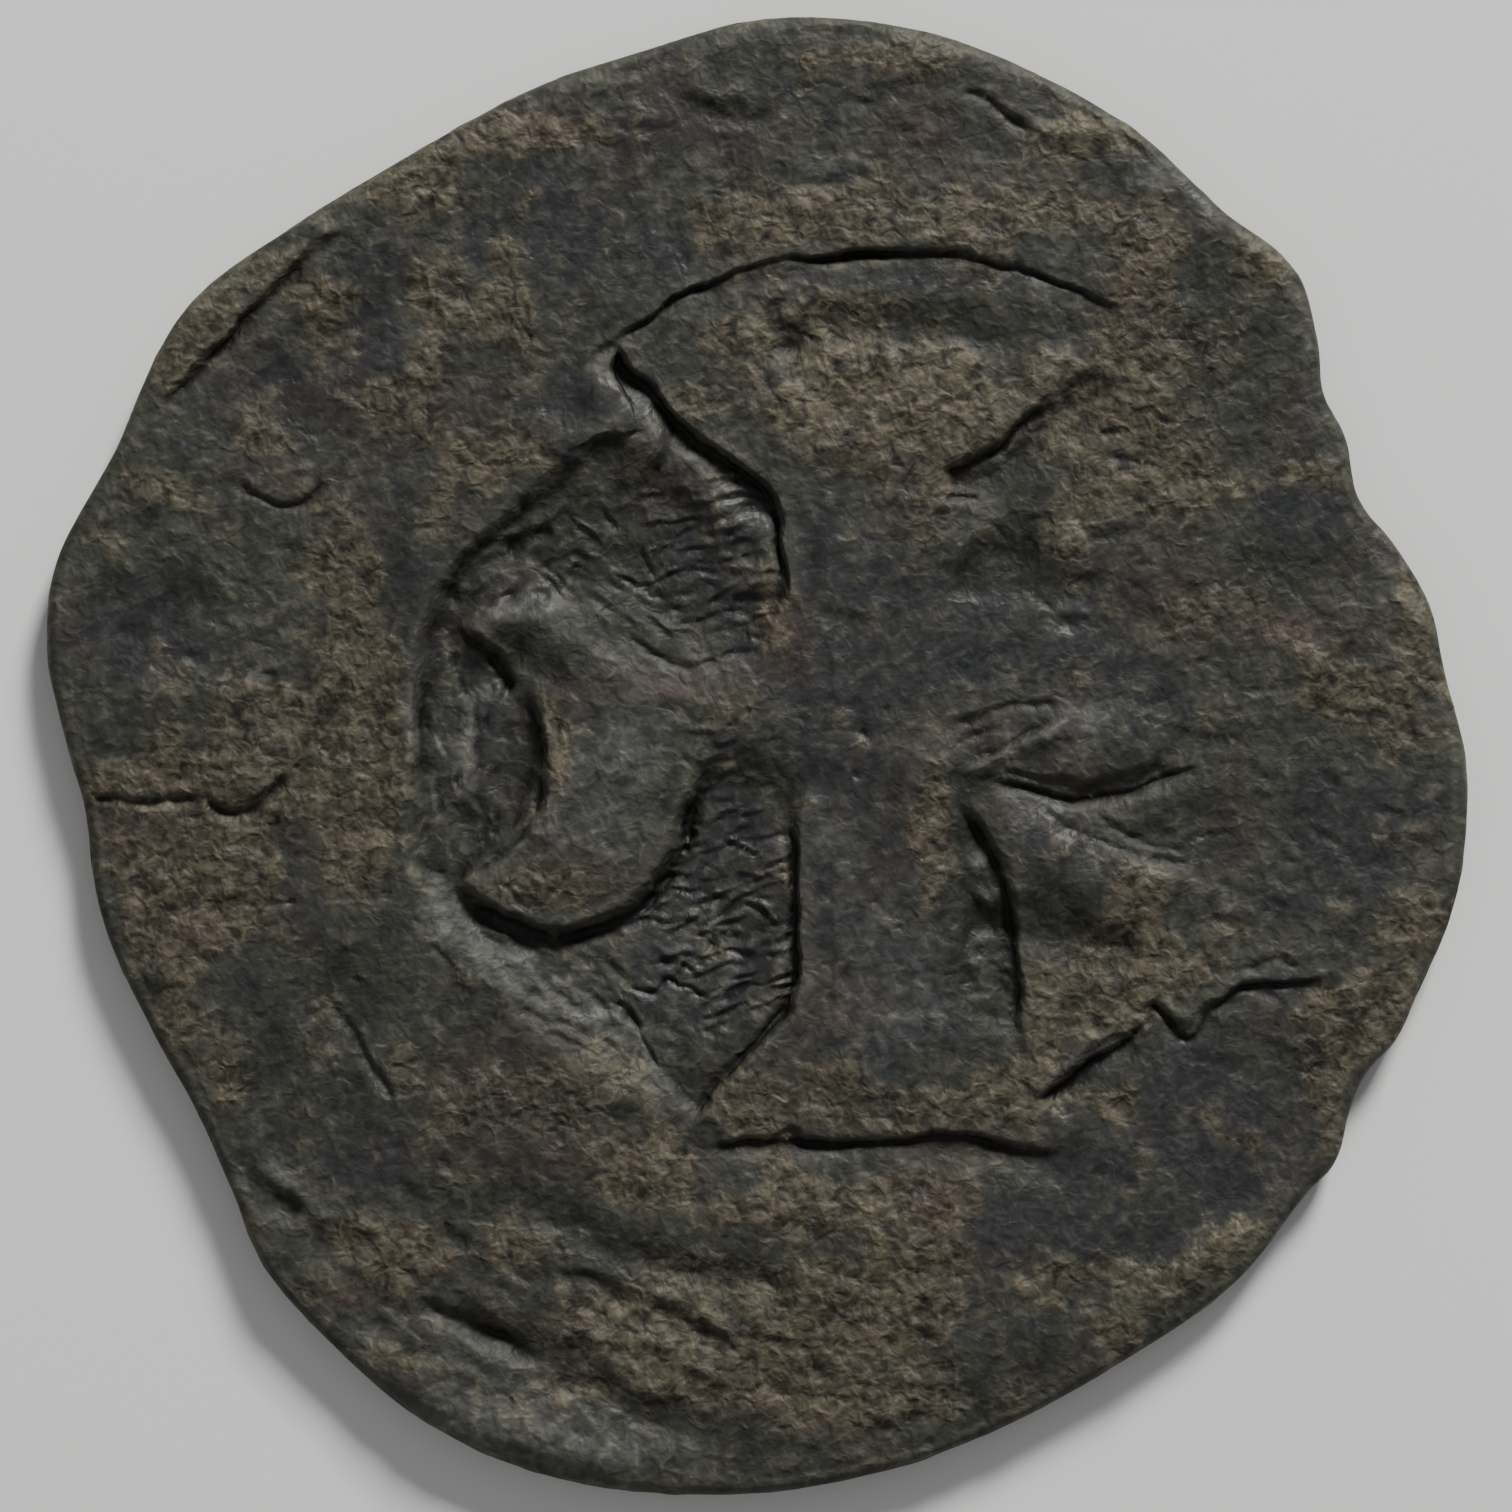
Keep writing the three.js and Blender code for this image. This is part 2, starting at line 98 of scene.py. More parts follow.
# Degrees from +X and the reach from the flan's middle
edgeHips = [
    (0, 9.4), (7, 9.2), (13, 9.15), (18, 8.95), (23, 8.7), (29, 8.9), (33, 8.95), (37, 9.3),
    (41, 9.6), (50, 9.55), (60, 9.75), (66, 9.8), (76, 9.9), (90, 9.8), (100, 9.5), (107, 9.4),
    (118, 9.25), (122, 9.25), (130, 9.35), (142, 9.65), (154, 9.45), (167, 9.65), (172, 9.5),
    (178, 9.2), (184, 8.95), (193, 8.95), (204, 8.8), (213, 8.8), (220, 9.05), (226, 9.4),
    (232, 9.55), (248, 9.9), (265, 9.8), (273, 9.7), (280, 9.6), (290, 9.45), (300, 9.35),
    (313, 9.4), (322, 9.3), (325, 9.35), (329, 9.15), (333, 9.1), (336, 9.25), (341, 9.3),
    (348, 9.45), (355, 9.45),
]
# The inner circle around the cross's middle, then the width of its slope and the rise of its lip
circleHips = [
    (0, 6), (30, 6), (59, 6.1), (65, 6.15), (73, 6.05), (82, 5.95), (92, 5.85), (101, 5.8),
    (109, 5.75), (119, 5.74), (124, 5.7), (127, 5.45), (130, 4.75), (132, 4.7), (137, 4.92), (144, 4.98),
    (151, 5.2), (156, 5.35), (162, 5.6), (167, 5.76), (175, 5.83), (189, 6), (197, 6.2), (202, 6.3),
    (207, 6.25), (212, 6.1), (218, 5.95), (228, 5.85), (240, 5.9), (247, 6), (254, 6.1), (261, 5.95),
    (279, 5.92), (286, 6.15), (294, 6.55), (305, 6.3), (330, 6),
]
slopeHips = [
    (52, 1.6), (60, 0.3), (66, 0.16), (122, 0.16), (130, 0.22), (150, 0.35), (170, 0.3), (200, 0.35),
    (210, 0.9), (235, 1.2), (246, 0.6), (252, 0.3), (290, 0.4), (300, 1.6), (330, 2.2), (20, 2.2),
]
lipHips = [
    (45, 0.01), (65, 0.03), (90, 0.04), (118, 0.03), (130, 0.01), (160, 0.02), (180, 0.05), (200, 0.02),
    (225, 0.01), (252, -0.07), (290, -0.07), (300, 0),
]

# Each arm runs out from the cross's middle: stations of the way along it and its reach left and right
arms = {
    "upper": {
        "toward": (0, 1), "level": 0.595, "slope": 0.15, "endDip": -0.3, "bulge": 0.01,
        "stations": [
            (-0.8, 0.9, 1), (0.2, 1, 1.1), (1.35, 1.05, 1.08), (2.55, 1.12, 1.02), (3, 1.62, 1.15),
            (3.5, 2.3, 1.95), (4.3, 3, 2.95), (4.7, 3.3, 3.25), (5.5, 3.3, 3.3),
        ],
    },
    "lower": {
        "toward": (0, -1), "level": 0.595, "slope": 0.15, "endDip": -0.3, "bulge": 0.01,
        "stations": [
            (-0.8, 1, 0.9), (0.2, 1.05, 0.9), (1.5, 0.8, 0.9), (2.5, 0.95, 0.9), (3.3, 1.2, 0.87),
            (4.15, 1.6, 0.92), (4.5, 1.85, 1.25), (5, 2.15, 1.7), (5.4, 2.6, 2.05), (6, 2.65, 2.2),
        ],
    },
    "left": {
        "toward": (-1, 0), "level": 0.56, "slope": 0.3, "endDip": 1.05, "bulge": 0.1,
        "stations": [
            (0, 1.2, 1), (1.05, 1.3, 1.2), (1.6, 1.15, 0.6), (2.25, 1.5, 0.45), (2.6, 2.3, 0.5),
            (3.1, 2.85, 0.75), (3.7, 3.1, 1.1), (4.4, 3.2, 1.2), (5.3, 2.5, 0.85),
        ],
    },
}
# Where the struck steps are gentler: x, y, radius and how many times wider
softSteps = [
    (-2.2, 1.9, 0.9, 3), (-0.9, 1.3, 0.8, 5), (0, -0.35, 0.6, 6), (2.4, -1.5, 0.9, 4),
    (2.5, 2.6, 0.9, 2.5), (0.2, 1.9, 0.6, 2),
]

# Broad ridges above 0 and hollows below it: rise, widths to the left and right of the run, and the run
forms = {
    "pocketBesideLowerArm": (-0.11, (0.15, 0.55), [
        (2.65, -0.6), (2.95, -1.2), (3.2, -1.9), (3.3, -2.8), (3.38, -4)]),
    "hollowUnderFanRight": (-0.09, (0.12, 0.5), [
        (2.4, 3.75), (2.75, 3.82), (3.3, 4.2), (3.9, 4.7), (4.4, 5.1)]),
    "hollowRightOfNeck": (-0.09, (0.4, 0.35), [(2.6, 2.7), (3.1, 2.6), (3.8, 2.6)]),
    "grooveBelowRightArm": (-0.08, (0.16, 0.26), [
        (2.9, -0.37), (3.8, -0.42), (4.63, -0.46), (5.2, -0.32), (5.8, -0.1)]),
    "crestOfWedge": (0.07, (0.4, 0.35), [
        (2.95, -0.65), (3.4, -0.95), (3.85, -1.25), (4.4, -1.5), (5.3, -1.65), (6.2, -1.85)]),
    "hollowAboveWedge": (-0.05, (0.2, 0.25), [(3.9, -0.75), (4.7, -0.95), (5.6, -1.05)]),
    "swellOfRightArm": (0.085, (0.5, 0.3), [(3.6, 0), (4.26, 0.12), (4.9, 0.2), (5.6, 0.2)]),
    "ridgeOfRightArm": (0.075, (0.09, 0.13), [
        (2.61, -0.26), (3, -0.08), (3.5, 0.15), (3.93, 0.37), (4.3, 0.6)]),
    "ridgeAtApex": (0.05, (0.25, 0.2), [(2, -0.6), (2.15, -0.1), (2.45, 0.1), (2.9, 0)]),
    "stripRightOfLowerArm": (0.03, (0.3, 0.35), [(2.15, -0.5), (2.2, -1.3), (2.25, -2.2)]),
    "besideFanFlank": (0.13, (0.2, 0.3), [
        (-2.35, 5.25), (-1.95, 4.8), (-1.5, 4.4), (-0.95, 3.85), (-0.45, 3.35), (0, 3)]),
    "besideNeck": (0.145, (0.15, 0.5), [(0.1, 3.3), (0.15, 2.7), (0.2, 2.1)]),
    "besideLowerArm": (0.11, (0.15, 0.4), [
        (0.25, -0.5), (0.3, -1.5), (0.32, -2.5), (0.1, -3.4), (-0.6, -4.3)]),
    "upperHornCrest": (0.06, (0.13, 0.2), [(-4, 1.8), (-3.6, 1.92), (-3.1, 1.95), (-2.5, 1.9)]),
    "riseAboveLeftArm": (0.025, (0.5, 0.5), [(-3.3, 2.3), (-2.5, 2.35), (-1.5, 1.9), (-0.5, 1.7)]),
    "underUpperHorn": (-0.1, (0.25, 0.35), [(-3.6, 1.6), (-3.2, 1.38), (-2.8, 1.2), (-2.4, 1.15)]),
    "cornerFloor": (0.17, (0.5, 0.5), [(-2.7, 3.7), (-2.1, 4), (-1.6, 4.15), (-1.2, 4)]),
    "crestOfLeftArm": (0.05, (0.4, 0.35), [(-2.6, 0.6), (-2.55, 0), (-2.6, -0.8), (-2.9, -1.4)]),
    "underArc": (-0.02, (0.3, 0.3), [
        (-1.4, 5.5), (-0.5, 6.05), (0.6, 6.35), (1.83, 6.4), (3, 6.25), (4, 5.95)]),
    "fanValley": (-0.078, (0.22, 0.3), [(-0.3, 5.7), (0.6, 5.72), (1.8, 5.75), (2.9, 5.6), (3.8, 5.35)]),
    "fanCushion": (0.04, (0.5, 0.8), [(-0.2, 4.8), (0.9, 4.9), (2, 4.95), (3.4, 4.9)]),
    "slopeCrest": (0.03, (0.25, 0.3), [
        (-4.2, -2.2), (-3.4, -3.1), (-2.6, -3.8), (-1.6, -4.5), (-0.8, -4.8)]),
    "ledgeUpperLeft": (0.02, (0.45, 0.12), [(-8.1, 4.7), (-7.35, 5.45), (-6.55, 6.3), (-5.9, 7.05)]),
    "streakLowerLeft": (0.05, (0.14, 0.1), [(-6.75, -5.15), (-6.1, -5.8), (-5.3, -6.3)]),
    "ledgeLowerLeft": (-0.07, (0.14, 0.2), [(-7, -5.2), (-6.5, -5.75), (-5.95, -6.1)]),
    "troughLowerLeft": (-0.09, (0.25, 0.25), [
        (-4.7, -7), (-3.8, -7.5), (-3, -7.9), (-2.2, -8.3), (-1.3, -8.75), (0, -8.95)]),
    "troughInside": (-0.07, (0.14, 0.25), [(-2.5, -6.95), (-1.4, -7.4), (-0.3, -7.9)]),
    "hollowBelowFoot": (-0.09, (0.25, 0.3), [
        (-3.3, -5.9), (-2.6, -6.15), (-1.8, -6.5), (-0.6, -6.85), (0.6, -6.9)]),
    "lowerLeftRim": (0.09, (0.4, 0.3), [(-5.3, -7.7), (-4.2, -8.5), (-2.6, -9.15), (-1, -9.4)]),
    "lowerRightRim": (0.05, (0.35, 0.3), [(4.4, -7.9), (5.5, -7), (6.7, -6.1), (7.4, -5.2)]),
    "troughLowerRight": (-0.04, (0.3, 0.3), [(3.8, -7.4), (4.8, -6.7), (5.9, -6.1), (6.8, -5.3)]),
    "ridgeLeftOfCircle": (0.035, (0.14, 0.14), [(-4.6, 1.5), (-4.62, 0.3), (-4.6, -1.2)]),
    "troughLeftOfRidge": (-0.04, (0.2, 0.2), [(-5, 1), (-5.05, 0.2), (-5, -0.6)]),
    "ringLeftBrow": (0.05, (0.35, 0.35), [(-8.6, 0.9), (-7.6, 0.7), (-6.6, 1)]),
    "ringLeftHollow": (-0.055, (0.35, 0.35), [(-8.8, 1.8), (-7.9, 1.9), (-7, 2.2)]),
    "ringLowerHollow": (-0.035, (0.4, 0.5), [(-5.9, -2.6), (-5.5, -3.6), (-5.6, -4.9)]),
    "ringTopStreak": (-0.04, (0.1, 0.16), [(-1.1, 8.8), (-0.4, 8.55), (0.4, 8.6)]),
    "ringTopBump": (0.04, (0.15, 0.15), [(-1, 9), (-0.5, 8.85), (0, 8.85)]),
    "ringTopRight": (0.045, (0.16, 0.12), [(3.2, 8.85), (3.75, 8.4), (4.4, 8.1)]),
    "ringRightBrow": (0.03, (0.3, 0.3), [(7, 1.3), (8, 1.1), (8.8, 1.3)]),
    "ringRightHollow": (-0.03, (0.5, 0.4), [(6, 6.6), (6.1, 5.6), (6.4, 4.6)]),
    "brightSlopeEdge": (0.04, (0.06, 0.1), [(-1.32, -4.02), (-1.16, -4.42), (-0.9, -4.71), (-0.6, -4.79)]),
    "wedgeLight": (0.025, (0.1, 0.09), [(4.2, -1.42), (4.95, -1.5), (5.6, -1.62), (6.2, -1.83)]),
    "leftFloorRidge": (0.05, (0.09, 0.09), [(-3.85, 0.9), (-3.82, 0.3), (-3.85, -0.2), (-3.95, -0.8)]),
    "ringUpperLeft": (-0.05, (0.4, 0.5), [(-7, 4.6), (-6, 5.3), (-5.2, 6.2)]),
    "ringUpperBrow": (0.045, (0.4, 0.4), [(-5.6, 4.2), (-4.7, 5.2), (-3.6, 6)]),
}

# Scarps, where the metal on the left of a run stands higher: rise and drop, how far each reaches,
# the breadth of the face, and the run
scarps = {
    "arc": ((0.025, 0.02), (0.7, 0.4), 0.07, [
        (-1.88, 5.54), (-1.56, 5.79), (-1.23, 6.03), (-0.77, 6.26), (-0.3, 6.46), (0.16, 6.6), (0.95, 6.72),
        (1.83, 6.75), (2.54, 6.69), (3.31, 6.56), (3.93, 6.36), (4.51, 6.1), (4.9, 5.88)]),
    "fanBrow": ((0.02, 0.025), (0.4, 0.3), 0.25, [
        (-0.6, 5.95), (0.5, 6.08), (1.9, 6.08), (3.2, 5.98), (4.2, 5.8)]),
    "flakeLeft": ((0.06, 0.07), (0.35, 0.35), 0.1, [
        (3.73, -4.52), (3.93, -4.33), (4.22, -4.13), (4.63, -3.88), (5.04, -3.64)]),
    "flakeRight": ((0.04, 0.05), (0.3, 0.3), 0.1, [
        (4.92, -3.39), (5.2, -3.23), (5.45, -3.39), (5.7, -3.68), (5.94, -3.35), (6.27, -3.06), (6.6, -2.96),
        (7.17, -2.94), (7.57, -2.83)]),
    "pocketSide": ((0.02, 0.04), (0.3, 0.5), 0.15, [
        (2.7, -0.44), (2.99, -0.93), (3.32, -1.49), (3.44, -2.16), (3.48, -3), (3.49, -3.8)]),
    "wedge": ((0.06, 0.14), (0.5, 0.6), 0.8, [
        (2.7, -1.8), (3.3, -1.92), (3.9, -2), (4.5, -2.08), (5.2, -2.2)]),
    "foot": ((0.01, 0.05), (0.3, 0.28), 0.1, [
        (-0.82, -5.18), (0.2, -5.05), (1.2, -5.08), (2.5, -5.02), (3.5, -5.13), (4.15, -5.22)]),
    "shelf": ((0.032, 0.016), (0.4, 0.5), 0.3, [
        (2.47, 2.79), (2.87, 2.43), (3.33, 2.33), (3.99, 2.39), (4.6, 2.5)]),
    "upperLeftStrip": ((0.035, 0.03), (0.4, 0.3), 0.12, [
        (-7.95, 4.65), (-7.4, 5.25), (-6.7, 5.95), (-6, 6.65), (-5.5, 7.1)]),
    "underHorn": ((0.02, 0.03), (0.3, 0.35), 0.15, [
        (-3.92, -1.48), (-3.68, -1.77), (-3.28, -2.1), (-2.75, -2.24), (-2.22, -2.17), (-1.56, -1.9),
        (-1.03, -1.44), (-0.77, -1.04)]),
    "leafEdge": ((0.02, 0.05), (0.35, 0.3), 0.3, [(4.2, -0.35), (4.9, -0.2), (5.4, 0.1), (5.6, 0.5)]),
    "fanRight": ((0.02, 0.07), (0.3, 0.5), 0.2, [
        (2.35, 3.7), (3.07, 3.9), (3.6, 4.35), (4.1, 4.85), (4.55, 5.2)]),
}

# Round hollows and bumps: x, y, radius and rise
dimples = [
    (-6.25, 3.75, 0.4, 0.06), (-6.75, -0.15, 0.55, 0.08), (-7.6, 2.5, 0.5, 0.03), (3.2, 2.9, 0.55, -0.08),
    (4.1, 3, 0.38, 0.05), (4.4, 2.35, 0.7, -0.05), (4.2, 5.4, 0.35, -0.03), (0.35, 5.5, 0.5, -0.07),
    (0.5, 5.52, 0.18, -0.07), (0.4, 6, 0.35, 0.03), (-1.1, 2.6, 0.9, -0.04), (-3, 2.8, 0.35, -0.04),
    (-3.45, 2.12, 0.11, 0.035), (-4.1, 2.15, 0.15, -0.06), (-0.3, -2, 0.9, -0.05),
    (-0.45, -0.2, 0.28, -0.05), (-0.42, -0.25, 0.14, 0.03), (1.4, 0.34, 0.13, -0.06),
    (-3.3, 1.2, 0.45, -0.05), (-3.6, 0.75, 0.2, 0.05), (-4, 0, 0.45, 0.04), (-3.8, -0.9, 0.3, -0.04),
    (5.2, -2.4, 1, 0.03), (6.5, -4.8, 1.6, -0.05), (7.6, 3, 1.8, -0.03), (-5, -5, 1.6, 0.03),
    (0, 8.3, 1.6, -0.03), (-7.8, -2, 1.5, -0.04), (3, -7.3, 1.5, 0.03), (2.93, -1.4, 0.12, 0.07),
    (3.06, -1.85, 0.15, 0.06), (3.28, -2.4, 0.14, 0.04), (2.34, 0, 0.2, 0.03), (-3, -8.6, 0.8, 0.03),
]

# Breaks and sharp steps in the metal: depth, widths to the left and right of the run, and the run
creases = {
    "arcLine": (0.035, (0.03, 0.045), [
        (-1.95, 5.45), (-1.56, 5.76), (-1.23, 6), (-0.77, 6.23), (-0.3, 6.43), (0.16, 6.57), (0.95, 6.69),
        (1.83, 6.72), (2.54, 6.66), (3.31, 6.53), (3.93, 6.33), (4.5, 6.07), (4.9, 5.84)]),
    "arcLeftEnd": (0.04, (0.05, 0.06), [
        (-2.1, 5.3), (-1.88, 5.53), (-1.56, 5.76), (-1.1, 6.06), (-0.5, 6.34)]),
    "dropFromArcEnd": (0.012, (0.1, 0.1), [(-1.89, 5.53), (-1.94, 5.34), (-1.84, 5.04), (-1.88, 4.68)]),
    "cornerOfRing": (0.03, (0.03, 0.05), [(-2.54, 3.97), (-2.25, 4.19), (-1.85, 4.3), (-1.43, 4.37)]),
    "pitUpperLeft": (0.07, (0.1, 0.1), [(-3.35, 2.74), (-3.04, 2.9), (-2.67, 3.11)]),
    "fanLeftFlank": (0.04, (0.05, 0.05), [
        (-1.72, 5.24), (-1.36, 4.89), (-1.19, 4.6), (-0.9, 4.34), (-0.61, 4.13), (-0.3, 3.86),
        (0.32, 3.43)]),
    "neckLeftSide": (0.045, (0.03, 0.03), [(0.24, 3.39), (0.28, 3.02), (0.33, 2.59), (0.4, 2.22)]),
    "footOfUpperHorn": (0.075, (0.07, 0.06), [
        (-3.96, 1.8), (-3.74, 1.52), (-3.54, 1.31), (-3.39, 1.07), (-3.31, 0.82)]),
    "endOfLeftArm": (0.05, (0.08, 0.08), [
        (-3.32, 0.81), (-3.02, 0.63), (-2.87, 0.37), (-2.83, -0.05), (-2.88, -0.52), (-3, -0.87),
        (-3.25, -1.15), (-3.57, -1.39), (-3.84, -1.63)]),
    "underLowerHorn": (0.08, (0.08, 0.13), [
        (-3.92, -1.61), (-3.68, -1.94), (-3.31, -2.14), (-2.88, -2.33), (-2.59, -2.37), (-2.09, -2.24),
        (-1.75, -2.06), (-1.4, -1.8), (-1.11, -1.46), (-0.91, -1.04), (-0.82, -0.6), (-0.72, -0.2)]),
    "rightOfLowerHorn": (0.09, (0.09, 0.14), [
        (-1.75, -2), (-1.32, -1.62), (-1.06, -1.2), (-0.9, -0.8), (-0.8, -0.4), (-0.72, 0)]),
    "leftOfLowerHorn": (0.05, (0.05, 0.05), [
        (-2.83, -0.15), (-2.88, -0.52), (-3, -0.87), (-3.25, -1.15), (-3.55, -1.37), (-3.8, -1.55)]),
    "upperLeftBottom": (0.04, (0.05, 0.06), [
        (-1.8, 1.67), (-1.56, 1.47), (-1.27, 1.32), (-0.87, 1.24), (-0.28, 1.38), (0.13, 1.42)]),
    "lowerArmLeftSide": (0.06, (0.035, 0.035), [
        (0.45, -0.8), (0.5, -1.24), (0.5, -1.9), (0.53, -2.57), (0.48, -3.28)]),
    "lowerArmLeftFlare": (0.05, (0.07, 0.05), [
        (0.46, -3.28), (0.17, -3.54), (-0.11, -3.82), (-0.29, -4.15), (-0.66, -4.58)]),
    "lowerLeftCrackOne": (0.05, (0.04, 0.05), [
        (-1.83, -3), (-1.56, -3.1), (-1.36, -3.07), (-1.19, -2.92), (-1.02, -3.03), (-0.79, -3.06),
        (-0.61, -3.25)]),
    "lowerLeftCrackTwo": (0.04, (0.04, 0.05), [
        (-0.61, -3.27), (-0.3, -3.12), (-0.11, -3), (0.13, -2.99), (0.45, -2.79)]),
    "lowerLeftBranch": (0.04, (0.04, 0.04), [(-0.85, -2.67), (-0.98, -2.8), (-1.11, -3.02)]),
    "slopeCurve": (0.05, (0.05, 0.05), [
        (-2.01, -3.21), (-1.76, -3.36), (-1.56, -3.62), (-1.43, -3.89), (-1.24, -4.14)]),
    "footOfLowerArm": (0.05, (0.05, 0.08), [
        (-0.82, -5.2), (-0.24, -5.09), (0.22, -5.04), (0.49, -4.93), (0.61, -5.11), (1.22, -5.12),
        (1.88, -5.05), (2.47, -4.99), (2.94, -5.05), (3.47, -5.13), (4.15, -5.22)]),
    "wallOfPocket": (0.04, (0.04, 0.07), [
        (2.54, -0.38), (2.75, -0.78), (3, -1.08), (3.16, -1.4), (3.29, -1.81), (3.39, -2.24), (3.45, -2.63),
        (3.44, -3.16), (3.47, -4.02)]),
    "underRightArm": (0.055, (0.04, 0.07), [
        (2.94, -0.24), (3.4, -0.37), (3.8, -0.42), (4.26, -0.56), (4.66, -0.5), (5.19, -0.38), (5.56, -0.21),
        (5.98, -0.07)]),
    "aboveThatGroove": (0.03, (0.04, 0.05), [(3.2, -0.2), (3.73, -0.24), (4.37, -0.3)]),
    "obliqueOne": (0.035, (0.05, 0.06), [(2.57, 0.44), (3, 0.58), (3.47, 0.71), (4.07, 0.74)]),
    "obliqueTwo": (0.025, (0.05, 0.05), [(2.63, 0.22), (3, 0.38), (3.28, 0.5)]),
    "obliqueThree": (0.035, (0.05, 0.06), [(2.94, 0.03), (3.33, 0.15), (3.66, 0.37), (3.92, 0.53)]),
    "wedgeLineOne": (0.025, (0.04, 0.05), [(3.73, -0.61), (4.26, -0.98), (4.92, -1.22), (5.91, -1.42)]),
    "wedgeLineTwo": (0.025, (0.05, 0.05), [(4.46, -0.75), (5.05, -1.08), (5.78, -1.26)]),
    "breakLeft": (0.06, (0.06, 0.13), [
        (3.76, -4.5), (3.95, -4.33), (4.22, -4.13), (4.45, -3.95), (4.72, -3.75), (4.95, -3.66),
        (5.1, -3.55)]),
    "breakStep": (0.05, (0.05, 0.07), [(4.98, -3.66), (5.1, -3.52), (5.2, -3.36), (5.31, -3.2)]),
    "breakRight": (0.05, (0.06, 0.08), [
        (5.2, -3.16), (5.29, -3.22), (5.46, -3.45), (5.67, -3.65), (5.82, -3.45), (5.95, -3.3), (6.2, -3.12),
        (6.43, -3.01), (6.75, -2.98), (7.19, -3.04)]),
    "aboveTheBreak": (0.035, (0.05, 0.05), [(6.48, -2.8), (6.72, -2.66), (6.92, -2.62), (7.16, -2.78)]),
    "fanRightFlank": (0.07, (0.05, 0.08), [
        (2.35, 3.81), (2.74, 3.86), (3.07, 4.02), (3.33, 4.23), (3.6, 4.51), (3.94, 4.74)]),
    "neckRightMark": (0.04, (0.04, 0.05), [(2.51, 3.45), (2.94, 3.43)]),
    "upperRightShelf": (0.02, (0.22, 0.3), [
        (2.46, 2.43), (3, 2.25), (3.6, 2.21), (4.19, 2.26), (4.72, 2.49)]),
    "upperRightTick": (0.02, (0.06, 0.07), [(3.73, 2.18), (3.99, 1.93), (4.3, 1.68)]),
    "upperRightCurl": (0.03, (0.05, 0.05), [(2.96, 3.15), (3.2, 3.04), (3.39, 2.84)]),
    "upperRightLineOne": (0.03, (0.05, 0.06), [(4.5, 4.29), (4.95, 4.37)]),
    "upperRightLineTwo": (0.03, (0.05, 0.06), [(4.6, 3.98), (5.21, 3.9)]),
    "pelletArc": (0.05, (0.06, 0.06), [
        (-6.81, 3.76), (-6.69, 3.49), (-6.26, 3.33), (-5.9, 3.43), (-5.69, 3.69)]),
    "lowerPelletArc": (0.07, (0.06, 0.07), [
        (-7.35, -0.49), (-7.14, -0.66), (-6.84, -0.69), (-6.48, -0.54), (-6.16, -0.16)]),
    "leftEdgeCrack": (0.05, (0.05, 0.06), [(-8.9, -0.52), (-8.31, -0.57), (-7.78, -0.54), (-7.33, -0.6)]),
    "ringScratch": (0.035, (0.05, 0.06), [
        (-5.77, -3.04), (-5.5, -3.41), (-5.24, -3.78), (-5, -4.26), (-4.83, -4.66)]),
    "upperLeftLedge": (0.045, (0.05, 0.09), [
        (-7.91, 4.64), (-7.51, 5), (-7.18, 5.37), (-6.83, 5.74), (-6.46, 6.16), (-6.08, 6.56),
        (-5.74, 7.01)]),
    "topMark": (0.045, (0.05, 0.07), [(2.65, 8.89), (3, 8.78), (3.25, 8.58), (3.62, 8.25)]),
    "lowStreakOne": (0.06, (0.1, 0.13), [(-2.62, -6.77), (-2.2, -6.89), (-1.8, -7.08), (-1.43, -7.22)]),
    "lowStreakTwo": (0.06, (0.1, 0.13), [(-1.56, -7.14), (-1.03, -7.39), (-0.61, -7.59), (-0.17, -7.9)]),
    "troughLine": (0.06, (0.1, 0.14), [
        (-4.58, -7.17), (-4.21, -7.3), (-3.81, -7.46), (-3.28, -7.72), (-2.78, -8.02)]),
}

